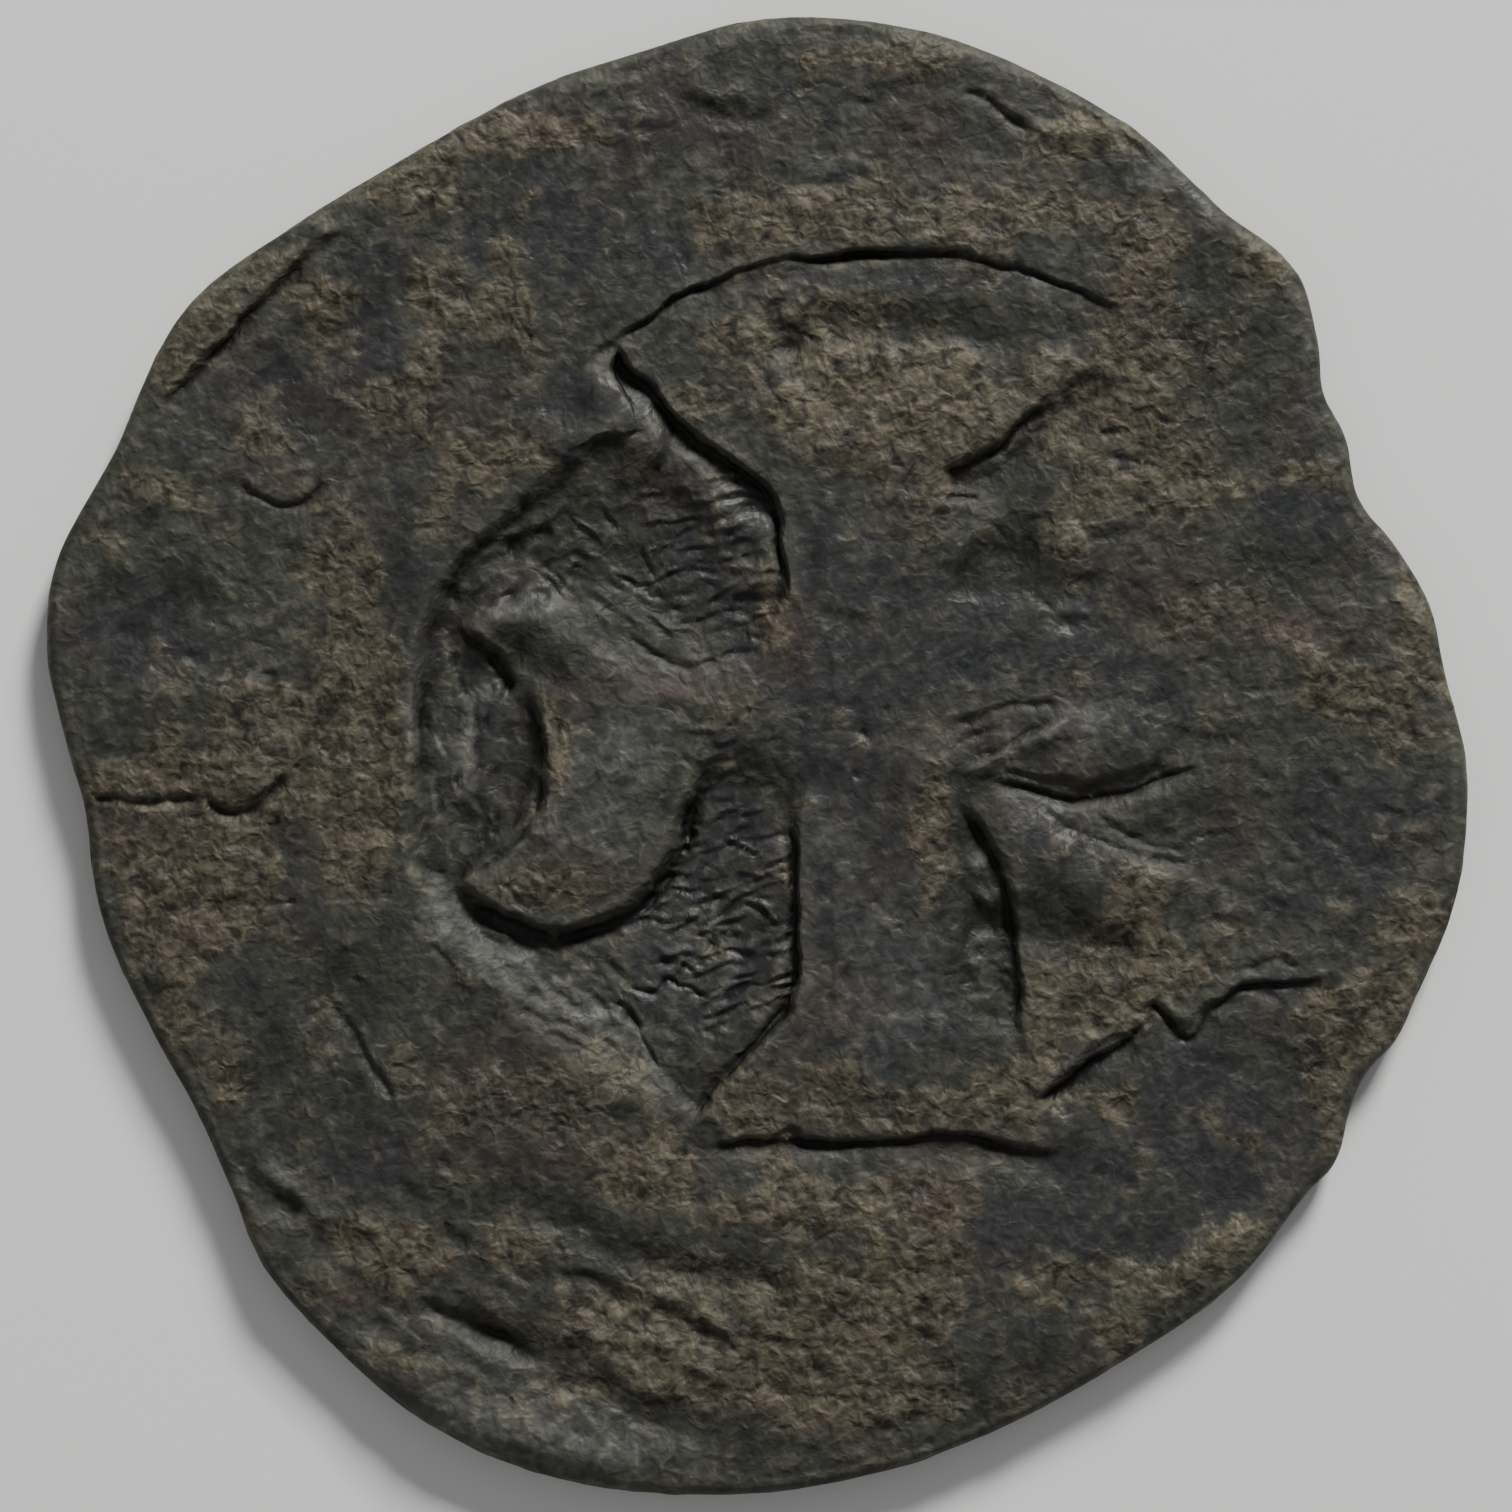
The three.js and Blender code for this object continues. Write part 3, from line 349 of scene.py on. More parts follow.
# Fields of fine scores in rows: where, how far along and across the rows, how many rows and scores in
# each, how they turn and lean in degrees, the metal they are on, their lengths, depth and width
scoreColumns = ("place", "spread", "rows", "each", "turn", "lean", "on", "long", "deep", "wide")
scoreFields = {
    "upperLeft": ((-0.6, 2.75), (0.9, 1.1), 12, 3, 9, 0, "floor", (0.55, 1.1), 0.026, 0.035),
    "upperLeftLow": ((-0.3, 1.9), (0.6, 0.4), 4, 2, 16, 0, "any", (0.3, 0.7), 0.025, 0.035),
    "hornSlope": ((-1.9, 2.25), (1, 0.7), 7, 3, -46, 0, "floor", (0.4, 0.9), 0.03, 0.04),
    "farLeft": ((-3, 2.7), (0.9, 0.6), 5, 3, 38, 0, "floor", (0.3, 0.7), 0.03, 0.05),
    "leftFloor": ((-3.8, 0.1), (1.4, 0.5), 4, 5, 84, 0, "floor", (0.3, 0.6), 0.035, 0.045),
    "lowerLeft": ((-0.4, -1.9), (1.1, 1.6), 19, 3, 19, 0, "floor", (0.5, 1.1), 0.03, 0.035),
    "lowerLeftAcross": ((-0.7, -1.9), (0.9, 1), 6, 3, -24, 0, "floor", (0.3, 0.8), 0.03, 0.035),
    "lowerTip": ((-0.8, -3.5), (0.6, 0.3), 4, 3, -15, 0, "floor", (0.3, 0.6), 0.014, 0.04),
    "barStriae": ((-0.4, 0.1), (0.7, 0.6), 6, 2, 12, 0, "any", (0.3, 0.7), 0.016, 0.035),
    "lowSlope": ((-2.7, -2.9), (1.5, 0.7), 6, 4, -36, 0, "any", (0.4, 1), 0.022, 0.045),
    "pocket": ((2.98, -2.2), (0.3, 1.3), 9, 2, 8, -75, "any", (0.2, 0.4), 0.022, 0.045),
    "lowRing": ((-3.4, -7.4), (2.6, 1), 8, 4, -27, 0, "any", (0.5, 1.4), 0.03, 0.09),
    "bottomRing": ((0.6, -7.9), (2.4, 1), 6, 4, -8, 0, "any", (0.4, 1.2), 0.022, 0.06),
    "topRing": ((-0.4, 8.2), (3, 0.8), 5, 5, 4, 0, "any", (0.4, 1.2), 0.02, 0.06),
    "leftRing": ((-7, 0.8), (1.4, 3), 12, 2, 8, 0, "any", (0.3, 0.9), 0.022, 0.06),
    "rightRing": ((7.2, -1.4), (1.2, 3), 11, 2, -25, 0, "any", (0.3, 0.9), 0.022, 0.06),
    "rightHalf": ((5, 1.2), (1.6, 2.6), 10, 3, 12, 0, "any", (0.3, 0.8), 0.022, 0.06),
}

# The patina's patches, among them painted shade and highlight: x, y, the two radii and a strength where it
# isn't 1; one below 0 takes away
patches = {
    "tan": [  # yellow-brown and rough
        (3.8, -2, 0.6, 0.45, -1.8), (-3.9, 0, 0.45, 1.3, -1.6), (-0.9, -3.85, 0.5, 0.6, -1.2),
        (-2.3, 3.1, 0.5, 0.5, -1), (-3.2, 8.3, 0.9, 0.3), (-4.4, 7.6, 0.9, 0.45), (-7.1, 5.9, 0.5, 0.45),
        (-7.7, 5.2, 0.25, 0.4), (-6.5, 6.5, 0.5, 0.3), (-5.7, 6.1, 0.5, 0.2), (-4.2, 6.1, 0.5, 0.6),
        (-3.3, 5.9, 0.35, 0.35), (-4.7, 4.8, 0.7, 0.5), (-6.6, 4.2, 0.5, 0.2), (-3.4, 3.9, 0.8, 0.4),
        (-5.4, 2.6, 0.4, 0.9), (-7.8, 3.6, 0.5, 0.3), (-6.7, 0.2, 1.3, 0.9), (-5.3, 0.7, 0.6, 1.3),
        (-8.2, -0.3, 0.7, 0.3), (-7.3, -1.5, 1.1, 1), (-5.2, -0.8, 0.6, 1.1), (-7.6, -3.4, 0.4, 0.5),
        (-8.1, -2.3, 0.35, 0.7), (-6.9, -4.3, 0.3, 0.5), (0.4, 7.05, 1.2, 0.35), (2.6, 7.2, 2.2, 0.4),
        (5.1, 6.4, 0.5, 1), (5, 4.8, 0.6, 0.8), (5, 3.5, 0.9, 0.4), (4.1, 2.95, 0.3, 0.4),
        (6.2, 5.4, 0.4, 0.7, 0.6), (6.6, 3.7, 0.8, 0.3, 0.6), (0.6, 5.75, 0.9, 0.45), (2, 4.95, 2.2, 0.75),
        (1.7, 4.2, 1, 0.5), (2.3, 3.3, 0.35, 0.6), (-0.85, 4.75, 0.3, 0.3, 0.7), (4.3, 8.2, 0.8, 0.3),
        (1.6, 9.3, 1.3, 0.2), (6.8, 6.8, 0.5, 0.4), (8, 0.9, 1, 0.5), (7.8, -3.7, 0.6, 0.5),
        (8.7, 1.8, 0.3, 0.9), (0.2, 2, 0.2, 0.9), (-2.72, 0.15, 0.2, 0.8, 0.8), (5.8, 1.9, 0.8, 0.4, 0.6),
        (-3, -1.75, 0.7, 0.4), (-3.2, -4.6, 1.5, 0.5), (-1.4, -5.4, 0.9, 0.5), (-5.2, -6.3, 0.6, 0.3),
        (-3.2, -6.5, 0.7, 0.35), (-4.6, -6.7, 0.6, 0.4), (-1.4, -7.5, 1.6, 0.45), (-0.8, -8.3, 1.1, 0.3),
        (-4.9, -7.9, 0.5, 0.3), (2.3, -1, 0.25, 1.1), (5, -2.4, 0.7, 0.7), (4.1, -3.2, 0.7, 0.8),
        (5.6, -2.8, 0.5, 0.3), (8, -3.3, 0.9, 0.5), (8.7, -2.1, 0.4, 0.6), (1.4, -4.6, 2, 0.4),
        (-0.2, -4.3, 0.6, 0.5), (3.6, -4.4, 0.6, 0.4), (4.8, -4.6, 0.3, 0.25), (1, -7.3, 2.4, 0.9),
        (1.2, -8.5, 1.3, 0.4), (5.6, -6.9, 0.8, 0.3), (6.5, -6.2, 0.5, 0.25), (4.8, -7.6, 0.5, 0.3),
        (7.6, -4.9, 0.25, 0.6), (1.4, -5.9, 1.6, 0.35),
    ],
    "slate": [  # blue-grey and smooth
        (-4.6, 2.2, 0.5, 1.2), (-6.2, 4.9, 1, 0.5), (-5, 6, 0.3, 0.8), (-2.5, 7.2, 1.1, 0.6),
        (-1.7, 6.6, 0.7, 0.4), (-8, 1.8, 1, 0.6), (-2.3, 4.8, 0.8, 0.35), (-0.5, 2.8, 0.7, 0.8),
        (-3.6, 0.3, 0.4, 1), (0.8, 3.1, 0.35, 0.7), (2.4, 1.9, 1.6, 0.8), (3.7, 1.8, 1, 0.6),
        (2, 6.38, 2.2, 0.13), (7.3, 3.2, 0.7, 0.6), (5.3, 0.5, 0.8, 0.5), (1.2, 0.6, 0.9, 1.1),
        (1.1, -0.9, 0.5, 1.1), (1.8, -2.8, 1.1, 1.3), (4.3, -4.2, 0.4, 0.4), (6, -4.6, 1.4, 0.9),
        (5.2, -5.9, 1.8, 0.9), (7.7, -1.2, 1.1, 1), (3.6, -6.3, 0.5, 0.4), (-5.6, -4.5, 0.5, 0.5),
        (4.9, 1.2, 0.5, 0.3), (-5.2, -5.3, 0.7, 0.35), (-6.2, -1.2, 0.2, 1), (-0.6, -2.6, 0.8, 1.2),
        (-0.3, -1.2, 0.6, 0.8), (3.7, -0.9, 0.5, 0.3), (-1.2, 8.3, 0.9, 0.4, 0.7), (7.4, 4.6, 0.5, 0.8, 0.6),
        (-1.7, 0.4, 0.7, 0.4, 0.6), (0.8, 8.6, 0.8, 0.3, 0.6),
    ],
    "russet": [  # reddish brown
        (-6.2, 3.7, 0.4, 0.25), (-4.3, 4.5, 0.8, 0.4, 0.7), (-2.8, 8.3, 0.4, 0.3), (2.2, 8.2, 0.5, 0.5, 0.7),
        (5.4, 2.4, 0.8, 0.5, 0.7), (6.6, 1.7, 1.5, 0.3, 0.8), (7, 4.4, 0.35, 0.6, 0.6), (5, 6, 0.3, 0.4),
        (-3.4, -4.2, 1.1, 0.5, 0.8), (-3, -5.2, 1.4, 0.35, 0.8), (2.3, -5.8, 0.6, 0.4),
        (6.35, -0.6, 0.3, 0.7, 0.5), (1, -3.1, 0.3, 0.3), (-1.3, 0.95, 0.9, 0.2), (0.4, 1.6, 0.3, 0.5),
        (-8.5, -0.9, 0.5, 0.2), (-7.6, -2.4, 0.5, 0.3), (2.6, -5, 1, 0.2), (8.6, 0.4, 0.5, 0.15),
        (-5.4, -7.1, 0.5, 0.2), (1.9, 4, 0.4, 0.3, 0.5), (-2.4, -1.4, 0.5, 0.3),
    ],
    "paleWearAndHighlight": [  # rubbed bright, and painted highlight on lit slopes, ridges and the lower-left rim
        (-4.1, -2, 0.3, 0.35), (-3.3, -2.7, 0.5, 0.25, 0.9), (-2.5, -3, 0.5, 0.25, 0.9),
        (-2, -3.5, 0.4, 0.2), (-1.5, -3.95, 0.3, 0.2), (-1.7, 4.6, 0.2, 0.25, 0.5), (-1, 4, 0.3, 0.3, 0.4),
        (-3.9, -0.2, 0.15, 0.6, 0.7), (-4.62, 0.4, 0.1, 0.7), (2.7, 7.1, 1.2, 0.2, 0.6),
        (4, 5.4, 0.25, 0.25), (4.4, 0.55, 0.5, 0.25), (2.28, -0.07, 0.25, 0.22),
        (3.7, -1.1, 0.45, 0.25, 0.3), (5, -1.5, 0.6, 0.1, 0.8), (6, -1.8, 0.3, 0.1, 0.7),
        (0.4, -5.25, 0.8, 0.1, 0.8), (-3.2, -8.7, 0.9, 0.3, 0.7), (-1.8, -9.2, 0.9, 0.2, 0.7),
        (-4.6, 7.6, 0.3, 0.2), (-3.2, 8.4, 0.3, 0.15), (4.2, 3, 0.2, 0.2, 0.6), (1.9, -3.2, 0.8, 0.6, 0.7),
        (1, -1, 0.3, 0.5, 0.6), (-1.8, 0.1, 0.7, 0.6, 0.9), (-2.75, -0.5, 0.15, 0.5),
        (-2.1, -0.9, 0.6, 0.5, 0.6), (6.4, -6.2, 0.3, 0.12), (8.4, 2.2, 0.15, 0.2), (2.6, -7.5, 0.2, 0.15),
        (-5.6, -6.7, 0.35, 0.2, 0.7), (0.3, 5.95, 0.5, 0.2), (1.6, 4.8, 1.8, 0.6, 0.7),
        (3, 3.3, 0.5, 0.15, 0.6), (-6.7, 1.05, 0.3, 0.15), (3.9, 8.35, 0.5, 0.12),
        (-6.4, -5.5, 0.3, 0.25, 0.7), (-5.2, -7.6, 0.5, 0.2, 0.7), (5.2, 7.7, 0.4, 0.15),
        (-3.3, 1.97, 0.5, 0.12, 0.35), (-3.45, 2.12, 0.12, 0.12, 0.6), (1.6, -2.2, 0.8, 0.9, 0.35),
        (-3.2, -8.9, 1.3, 0.35, 0.7), (-3.85, 0.2, 0.12, 0.6, 0.8), (-4.25, -0.2, 0.12, 1.1, 0.6),
        (-0.5, -2.3, 0.7, 1.2, 0.3), (2.93, -1.4, 0.12, 0.2, 1.1), (3.06, -1.85, 0.15, 0.15, 0.9),
        (-0.5, 3.1, 0.3, 0.5, 0.3), (3.5, 0.35, 0.5, 0.08, 0.8),
    ],
    "darkGreenAndShade": [  # dark green patina, and painted shade in hollows such as the pocket, the fan's valley and the upper-left floor
        (3.1, 2.62, 0.75, 0.33, 1.4), (4.3, 2.3, 0.5, 0.15), (3.85, -2, 0.45, 0.5, 2.2),
        (-3.2, -4.7, 1.5, 0.6, 0.7), (1.2, -4.6, 1.8, 0.35, 0.6), (-4.7, 2.1, 0.4, 1, 0.4),
        (-3, -1.7, 0.6, 0.3, 0.4), (-6.5, 0.6, 1.2, 1.2, 0.25), (2.9, -2.3, 0.45, 1.3, 1.2),
        (3, -8.3, 0.7, 0.35), (0.5, -9.1, 0.6, 0.15), (-7.6, 2.5, 0.4, 0.3), (-8.5, 2.4, 0.3, 0.15),
        (-5, 6.2, 0.3, 0.4, 0.7), (-2.7, 3, 0.6, 0.4), (-2, 2.6, 0.6, 0.5, 0.8), (-1.2, 2, 0.5, 0.4, 0.6),
        (-3.9, 2.6, 0.3, 0.3), (-1.8, -6.5, 0.9, 0.3), (-0.4, -6.8, 0.7, 0.2), (-3.8, -5.8, 0.8, 0.25),
        (-3.3, -7.6, 0.6, 0.25), (-1.8, -8.6, 0.8, 0.15), (-0.4, -8.9, 0.8, 0.15), (-6.3, -4, 0.5, 0.5, 0.8),
        (-5.4, -4.4, 0.4, 0.3), (5.9, 6, 0.3, 0.8, 0.7), (6.2, 4.7, 0.5, 0.7, 0.6),
        (6.8, 2.6, 0.8, 0.4, 0.8), (-1.05, -1, 0.3, 0.5, 0.8), (-1.7, -1.75, 0.5, 0.3, 0.8),
        (3.4, 3.9, 0.6, 0.35), (-0.4, 8.7, 0.6, 0.15), (5.6, -0.7, 0.9, 0.3, 0.8),
        (0.2, -2.2, 0.3, 0.6, 0.6), (-5.5, -2.8, 0.7, 0.5), (4.4, -4.2, 0.3, 0.2), (2.95, -2.2, 0.35, 1.1),
        (3, -1, 0.2, 0.3), (-8, -3, 0.2, 0.4), (7.1, -3.9, 0.5, 0.3), (3.9, -7.8, 0.3, 0.3),
        (4.9, 7.6, 0.25, 0.3), (1.6, 5.8, 1.4, 0.12, 0.6), (0.45, 5.5, 0.2, 0.15), (-0.1, -1.8, 0.5, 1, 0.2),
        (2, -1.9, 0.6, 0.4, 0.4), (-1.5, 2.7, 0.8, 0.7, 0.5), (-3.25, 1.4, 0.3, 0.3),
    ],
}

def lerp(low, high, share):
    return low + (high - low) * share


def smooth(share):
    t = np.clip(share, 0, 1)
    return t * t * (3 - 2 * t)


def aroundCurve(hips, level=False):  # a smooth value all round, level at each hip or flowing through it
    hips = sorted(hips)
    degrees = np.array([hip[0] for hip in hips], float)
    values = np.array([hip[1] for hip in hips], float)
    degrees = np.concatenate([degrees[-2:] - 360, degrees, degrees[:2] + 360])
    values = np.concatenate([values[-2:], values, values[:2]])
    slopes = np.gradient(values, degrees) * (not level)

    def evaluate(angle):
        at = np.degrees(angle) % 360
        left = np.clip(np.searchsorted(degrees, at, side="right") - 1, 0, len(degrees) - 2)
        span = degrees[left + 1] - degrees[left]
        t = (at - degrees[left]) / span
        rise = (2 * t ** 3 - 3 * t ** 2 + 1) * values[left] + (3 * t ** 2 - 2 * t ** 3) * values[left + 1]
        lean = (t ** 3 - 2 * t ** 2 + t) * slopes[left] + (t ** 3 - t ** 2) * slopes[left + 1]
        return rise + lean * span

    return evaluate


edgeReach = aroundCurve(edgeHips)
circleReach = aroundCurve(circleHips)
circleSlope = aroundCurve(slopeHips, level=True)
lipRise = aroundCurve(lipHips, level=True)


def splinePoints(places, count):  # a Catmull-Rom run through the places
    places = np.array(places, float)
    padded = np.vstack([2 * places[0] - places[1], places, 2 * places[-1] - places[-2]])
    t = np.linspace(0, len(places) - 1, count)
    i = np.minimum(t.astype(int), len(places) - 2)
    f = (t - i)[:, None]
    a, b, c, d = (padded[i + step] for step in range(4))
    squared, cubed = 2 * a - 5 * b + 4 * c - d, 3 * b - a - 3 * c + d
    return 0.5 * (2 * b + (c - a) * f + squared * f ** 2 + cubed * f ** 3)


def nearestOnRun(x, y, run):  # distance, side (positive to the left) and share of the run
    best = np.full(x.shape, np.inf)
    side = np.zeros(x.shape)
    share = np.zeros(x.shape)
    for i in range(len(run) - 1):
        sx, sy = run[i + 1] - run[i]
        px, py = x - run[i][0], y - run[i][1]
        along = np.clip((px * sx + py * sy) / (sx * sx + sy * sy), 0, 1)
        distance = np.hypot(px - along * sx, py - along * sy)
        nearer = distance < best
        best = np.where(nearer, distance, best)
        side = np.where(nearer, np.sign(sx * py - sy * px), side)
        share = np.where(nearer, (i + along) / (len(run) - 1), share)
    return best, side, share


def insideLoop(x, y, loop):
    inside = np.zeros(x.shape, bool)
    for (ax, ay), (bx, by) in zip(loop[:-1], loop[1:]):
        if ay != by:
            crosses = (ay > y) != (by > y)
            inside ^= crosses & (x < ax + (bx - ax) * (y - ay) / (by - ay))
    return inside


def nearRun(x, y, run, reach):  # which points lie in a run's box, widened by reach
    low, high = run.min(axis=0) - reach, run.max(axis=0) + reach
    return (x > low[0]) & (x < high[0]) & (y > low[1]) & (y < high[1])


def depthInside(x, y, loop):  # how far inside a loop each point lies, below 0 outside it
    farOut = 2
    near = nearRun(x, y, loop, farOut)
    distance, _, _ = nearestOnRun(x[near], y[near], loop)
    depth = np.full(x.shape, -float(farOut))
    depth[near] = np.where(insideLoop(x[near], y[near], loop), distance, -distance)
    return depth


def armLoop(arm):  # out along the left side, across the dipped end and back along the right side
    ax, ay = arm["toward"]
    cx, cy = coin["cross"]

    def place(along, left):
        return cx + ax * along - ay * left, cy + ay * along + ax * left

    tipAlong, tipLeft, tipRight = arm["stations"][-1]
    left = [place(along, reach) for along, reach, _ in arm["stations"]]
    end = [place(tipAlong - arm["endDip"] * 4 * s * (1 - s), lerp(-tipRight, tipLeft, s))
           for s in (0.75, 0.5, 0.25)]
    right = [place(along, -reach) for along, _, reach in reversed(arm["stations"])]
    loop = splinePoints(left + end + right, 120)
    return np.vstack([loop, loop[:1]])


def gradientNoise(x, y, seed):
    rng = np.random.default_rng(seed)
    table = rng.permutation(256)
    turn = rng.random(256) * 2 * math.pi
    leanX, leanY = np.cos(turn), np.sin(turn)
    ix, iy = np.floor(x).astype(int), np.floor(y).astype(int)
    fx, fy = x - ix, y - iy

    def corner(dx, dy):
        index = table[(table[(ix + dx) & 255] + iy + dy) & 255]
        return leanX[index] * (fx - dx) + leanY[index] * (fy - dy)

    u, v = (f ** 3 * (f * (f * 6 - 15) + 10) for f in (fx, fy))
    return 1.4 * lerp(lerp(corner(0, 0), corner(1, 0), u), lerp(corner(0, 1), corner(1, 1), u), v)


def lumps(x, y, wavelength, seed, octaves=3):
    total = np.zeros(x.shape)
    for octave in range(octaves):
        scale = 2 ** octave / wavelength
        total += gradientNoise(x * scale, y * scale, seed + octave) / 2 ** octave
    return total


def winding(x, y, wavelength, seed):  # one size of noise, pulled about so that its ridges wind
    bend = 0.55 * wavelength
    bx, by = (at + bend * gradientNoise(x / wavelength, y / wavelength, seed + pull)
              for at, pull in ((x, 20), (y, 21)))
    return gradientNoise(bx / wavelength, by / wavelength, seed)


def spot(x, y, cx, cy, rx, ry):
    return np.exp(-((x - cx) / rx) ** 2 - ((y - cy) / ry) ** 2)


def patchSum(x, y, name):
    return sum(spot(x, y, *patch[:4]) * (patch[4] if len(patch) > 4 else 1) for patch in patches[name])


def patchMask(x, y, name):  # a patch with a firm, ragged border
    ragged = lumps(x, y, 0.9, seeds[name], 4)
    return smooth((patchSum(x, y, name) + 0.6 * ragged - 0.1) / 0.65)


def softPatch(x, y, name):  # a patch that fades out
    ragged = 1 + 0.6 * lumps(x, y, 0.5, seeds[name], 3)
    return np.clip(ragged * patchSum(x, y, name), 0, 1)


def crusts(x, y):  # the tan crust, and the slate where the tan leaves it open
    tan = patchMask(x, y, "tan")
    return tan, patchMask(x, y, "slate") * (1 - 0.7 * tan)


def quarterRound(share):
    return np.sqrt(1 - (1 - np.clip(share, 0, 1)) ** 2)


# How runs are cut: the spread of a step or a cut in widths, how they waver with the metal, the raised lips
# beside them and the share of a run over which each end fades
tooling = {
    "cutSpread": 3, "widthWaver": 0.35, "depthWaver": 0.45, "lipOut": 1.9,
    "formEase": 0.22, "formWaver": 0.5,
    "creaseEase": 0.14, "creaseLip": 0.15,
    "scoreEase": 0.4, "scoreLip": 0.75, "scoreRight": 1.3,
    "scarpSpread": 2.5, "faceWaver": 0.25, "scarpWaver": 0.3, "scarpEase": 0.1,
    "scoreLean": 0.14, "scoreSway": 0.022, "scoreStations": (-1, -0.3, 0.35, 1), "scoreStrength": (0.4, 1),
}


def endsFaded(share, ease):
    return smooth(share / ease) * smooth((1 - share) / ease)


# Raises or sinks the metal along a run, in the points near it
def cut(height, x, y, ragged, rise, widths, places, ease, lip=0.0, allow=None):
    run = splinePoints(places, 6 * len(places))
    near = nearRun(x, y, run, tooling["cutSpread"] * max(widths))
    distance, side, share = nearestOnRun(x[near], y[near], run)
    width = np.where(side > 0, widths[0], widths[1]) * (1 + tooling["widthWaver"] * ragged[near])
    fade = endsFaded(share, ease) * (1 + tooling["depthWaver"] * ragged[near])
    shape = np.exp(-(distance / width) ** 2)
    if lip:
        shape = shape - lip * np.exp(-((distance * side) / width - tooling["lipOut"]) ** 2)
    if allow is not None:
        fade = fade * allow[near]
    height[near] += rise * fade * shape


# Lifts the left side of a run and sinks the right
def scarp(height, x, y, ragged, rises, reaches, face, places):
    run = splinePoints(places, 6 * len(places))
    near = nearRun(x, y, run, tooling["scarpSpread"] * max(reaches))
    distance, side, share = nearestOnRun(x[near], y[near], run)
    over = smooth(0.5 + distance * side / face + tooling["faceWaver"] * ragged[near])
    fade = endsFaded(share, tooling["scarpEase"]) * (1 + tooling["scarpWaver"] * ragged[near])
    reach = np.where(side > 0, reaches[0], reaches[1])
    height[near] += fade * lerp(-rises[1], rises[0], over) * np.exp(-(distance / reach) ** 2)


def scoreRuns(field, seed):  # wavering runs in rows over a field, each a little out of place
    rng = np.random.default_rng(seed)
    turn = math.radians(field["turn"])
    alongSpread, acrossSpread = field["spread"]
    ahead, aside = np.array([math.cos(turn), math.sin(turn)]), np.array([-math.sin(turn), math.cos(turn)])
    runs = []
    for row in range(field["rows"]):
        for step in range(field["each"]):
            along = 2 * (step + rng.uniform(0.1, 0.9) + 0.5 * (row % 2)) / (field["each"] + 0.5) - 1
            across = 2 * (row + rng.uniform(0.2, 0.8)) / field["rows"] - 1
            middle = field["place"] + along * alongSpread * ahead + across * acrossSpread * aside
            half = 0.5 * rng.uniform(*field["long"])
            lean = math.radians(field["lean"]) + rng.normal(0, tooling["scoreLean"])
            sways = rng.normal(0, tooling["scoreSway"], 4)
            places = [middle + t * half * (math.cos(lean) * ahead + math.sin(lean) * aside) + sway * aside
                      for t, sway in zip(tooling["scoreStations"], sways)]
            runs.append((places, rng.uniform(*tooling["scoreStrength"])))
    return runs


# The worn metal between the struck forms: how rough each kind is, and its grain, swells and pits
wear = {
    "rough": 0.55, "roughOnTan": 0.6, "smoothOnSlate": 0.3, "roughOnFloor": 0.5,
    "windingRise": 0.01, "windingSize": 0.22,
    "grainRise": 0.03, "grainSize": 0.55,
    "swellRise": 0.03, "swellSize": 1.8,
    "pitDepth": 0.02, "pitSize": 0.4, "pitFrom": 0.75, "pitSpan": 0.25,
}


def struckHeight(x, y, tan, slate):
    wx = x + coin["waver"] * lumps(x, y, 0.6, seeds["waverX"])
    wy = y + coin["waver"] * lumps(x, y, 0.6, seeds["waverY"])
    ragged = np.clip(lumps(x, y, 0.9, seeds["ragged"], 4), -1, 1)
    soft = 1 + 0.35 * ragged
    for sx, sy, radius, times in softSteps:
        soft = soft * (1 + (times - 1) * spot(x, y, sx, sy, radius, radius))
    weakShare = smooth((wx - coin["weakStart"]) / coin["weakSpan"])
    height = lerp(coin["floor"], coin["weak"], weakShare)
    openFloor = 1 - weakShare
    for arm in arms.values():
        depth = depthInside(wx, wy, armLoop(arm))
        cover = smooth(0.5 + depth / (arm["slope"] * soft))
        level = arm["level"] + arm["bulge"] * (1 - np.exp(-np.maximum(depth, 0) / coin["bulgeReach"]))
        height = lerp(height, level, cover)
        openFloor = openFloor * (1 - cover)
    cx, cy = coin["cross"]
    angle = np.arctan2(wy - cy, wx - cx)
    outside = np.hypot(wx - cx, wy - cy) - circleReach(angle)
    lip = lipRise(angle) * np.exp(-((outside - coin["lipOut"]) / coin["lipWidth"]) ** 2)
    cover = smooth(0.5 + outside / (circleSlope(angle) * soft))
    height = lerp(height, coin["ring"] + lip, cover)
    openFloor = openFloor * (1 - cover)
    for rise, widths, places in forms.values():
        cut(height, wx, wy, tooling["formWaver"] * ragged, rise, widths, places, tooling["formEase"])
    for rises, reaches, face, places in scarps.values():
        scarp(height, wx, wy, ragged, rises, reaches, face, places)
    for dx, dy, radius, rise in dimples:
        height = height + rise * spot(wx, wy, dx, dy, radius, radius)
    for depth, widths, places in creases.values():
        cut(height, wx, wy, ragged, -depth, widths, places, tooling["creaseEase"], tooling["creaseLip"])
    ease, lip = tooling["scoreEase"], tooling["scoreLip"]
    for seed, values in enumerate(scoreFields.values(), seeds["scores"]):
        field = dict(zip(scoreColumns, values))
        allow = openFloor if field["on"] == "floor" else None
        widths = (field["wide"], field["wide"] * tooling["scoreRight"])
        for places, strength in scoreRuns(field, seed):
            rise = -strength * field["deep"]
            cut(height, wx, wy, ragged, rise, widths, places, ease, lip, allow)
    rough = (wear["rough"] + wear["roughOnTan"] * tan - wear["smoothOnSlate"] * slate
             + wear["roughOnFloor"] * openFloor)
    grain = (wear["windingRise"] * winding(x, y, wear["windingSize"], seeds["winding"])
             + wear["grainRise"] * lumps(x, y, wear["grainSize"], seeds["grain"], 2))
    swell = wear["swellRise"] * lumps(x, y, wear["swellSize"], seeds["swell"], 2)
    pitted = (lumps(x, y, wear["pitSize"], seeds["pits"], 2) - wear["pitFrom"]) / wear["pitSpan"]
    pits = -wear["pitDepth"] * smooth(pitted)
    return height + rough * grain + swell + coin["crust"] * (tan - 0.5 * slate) + pits


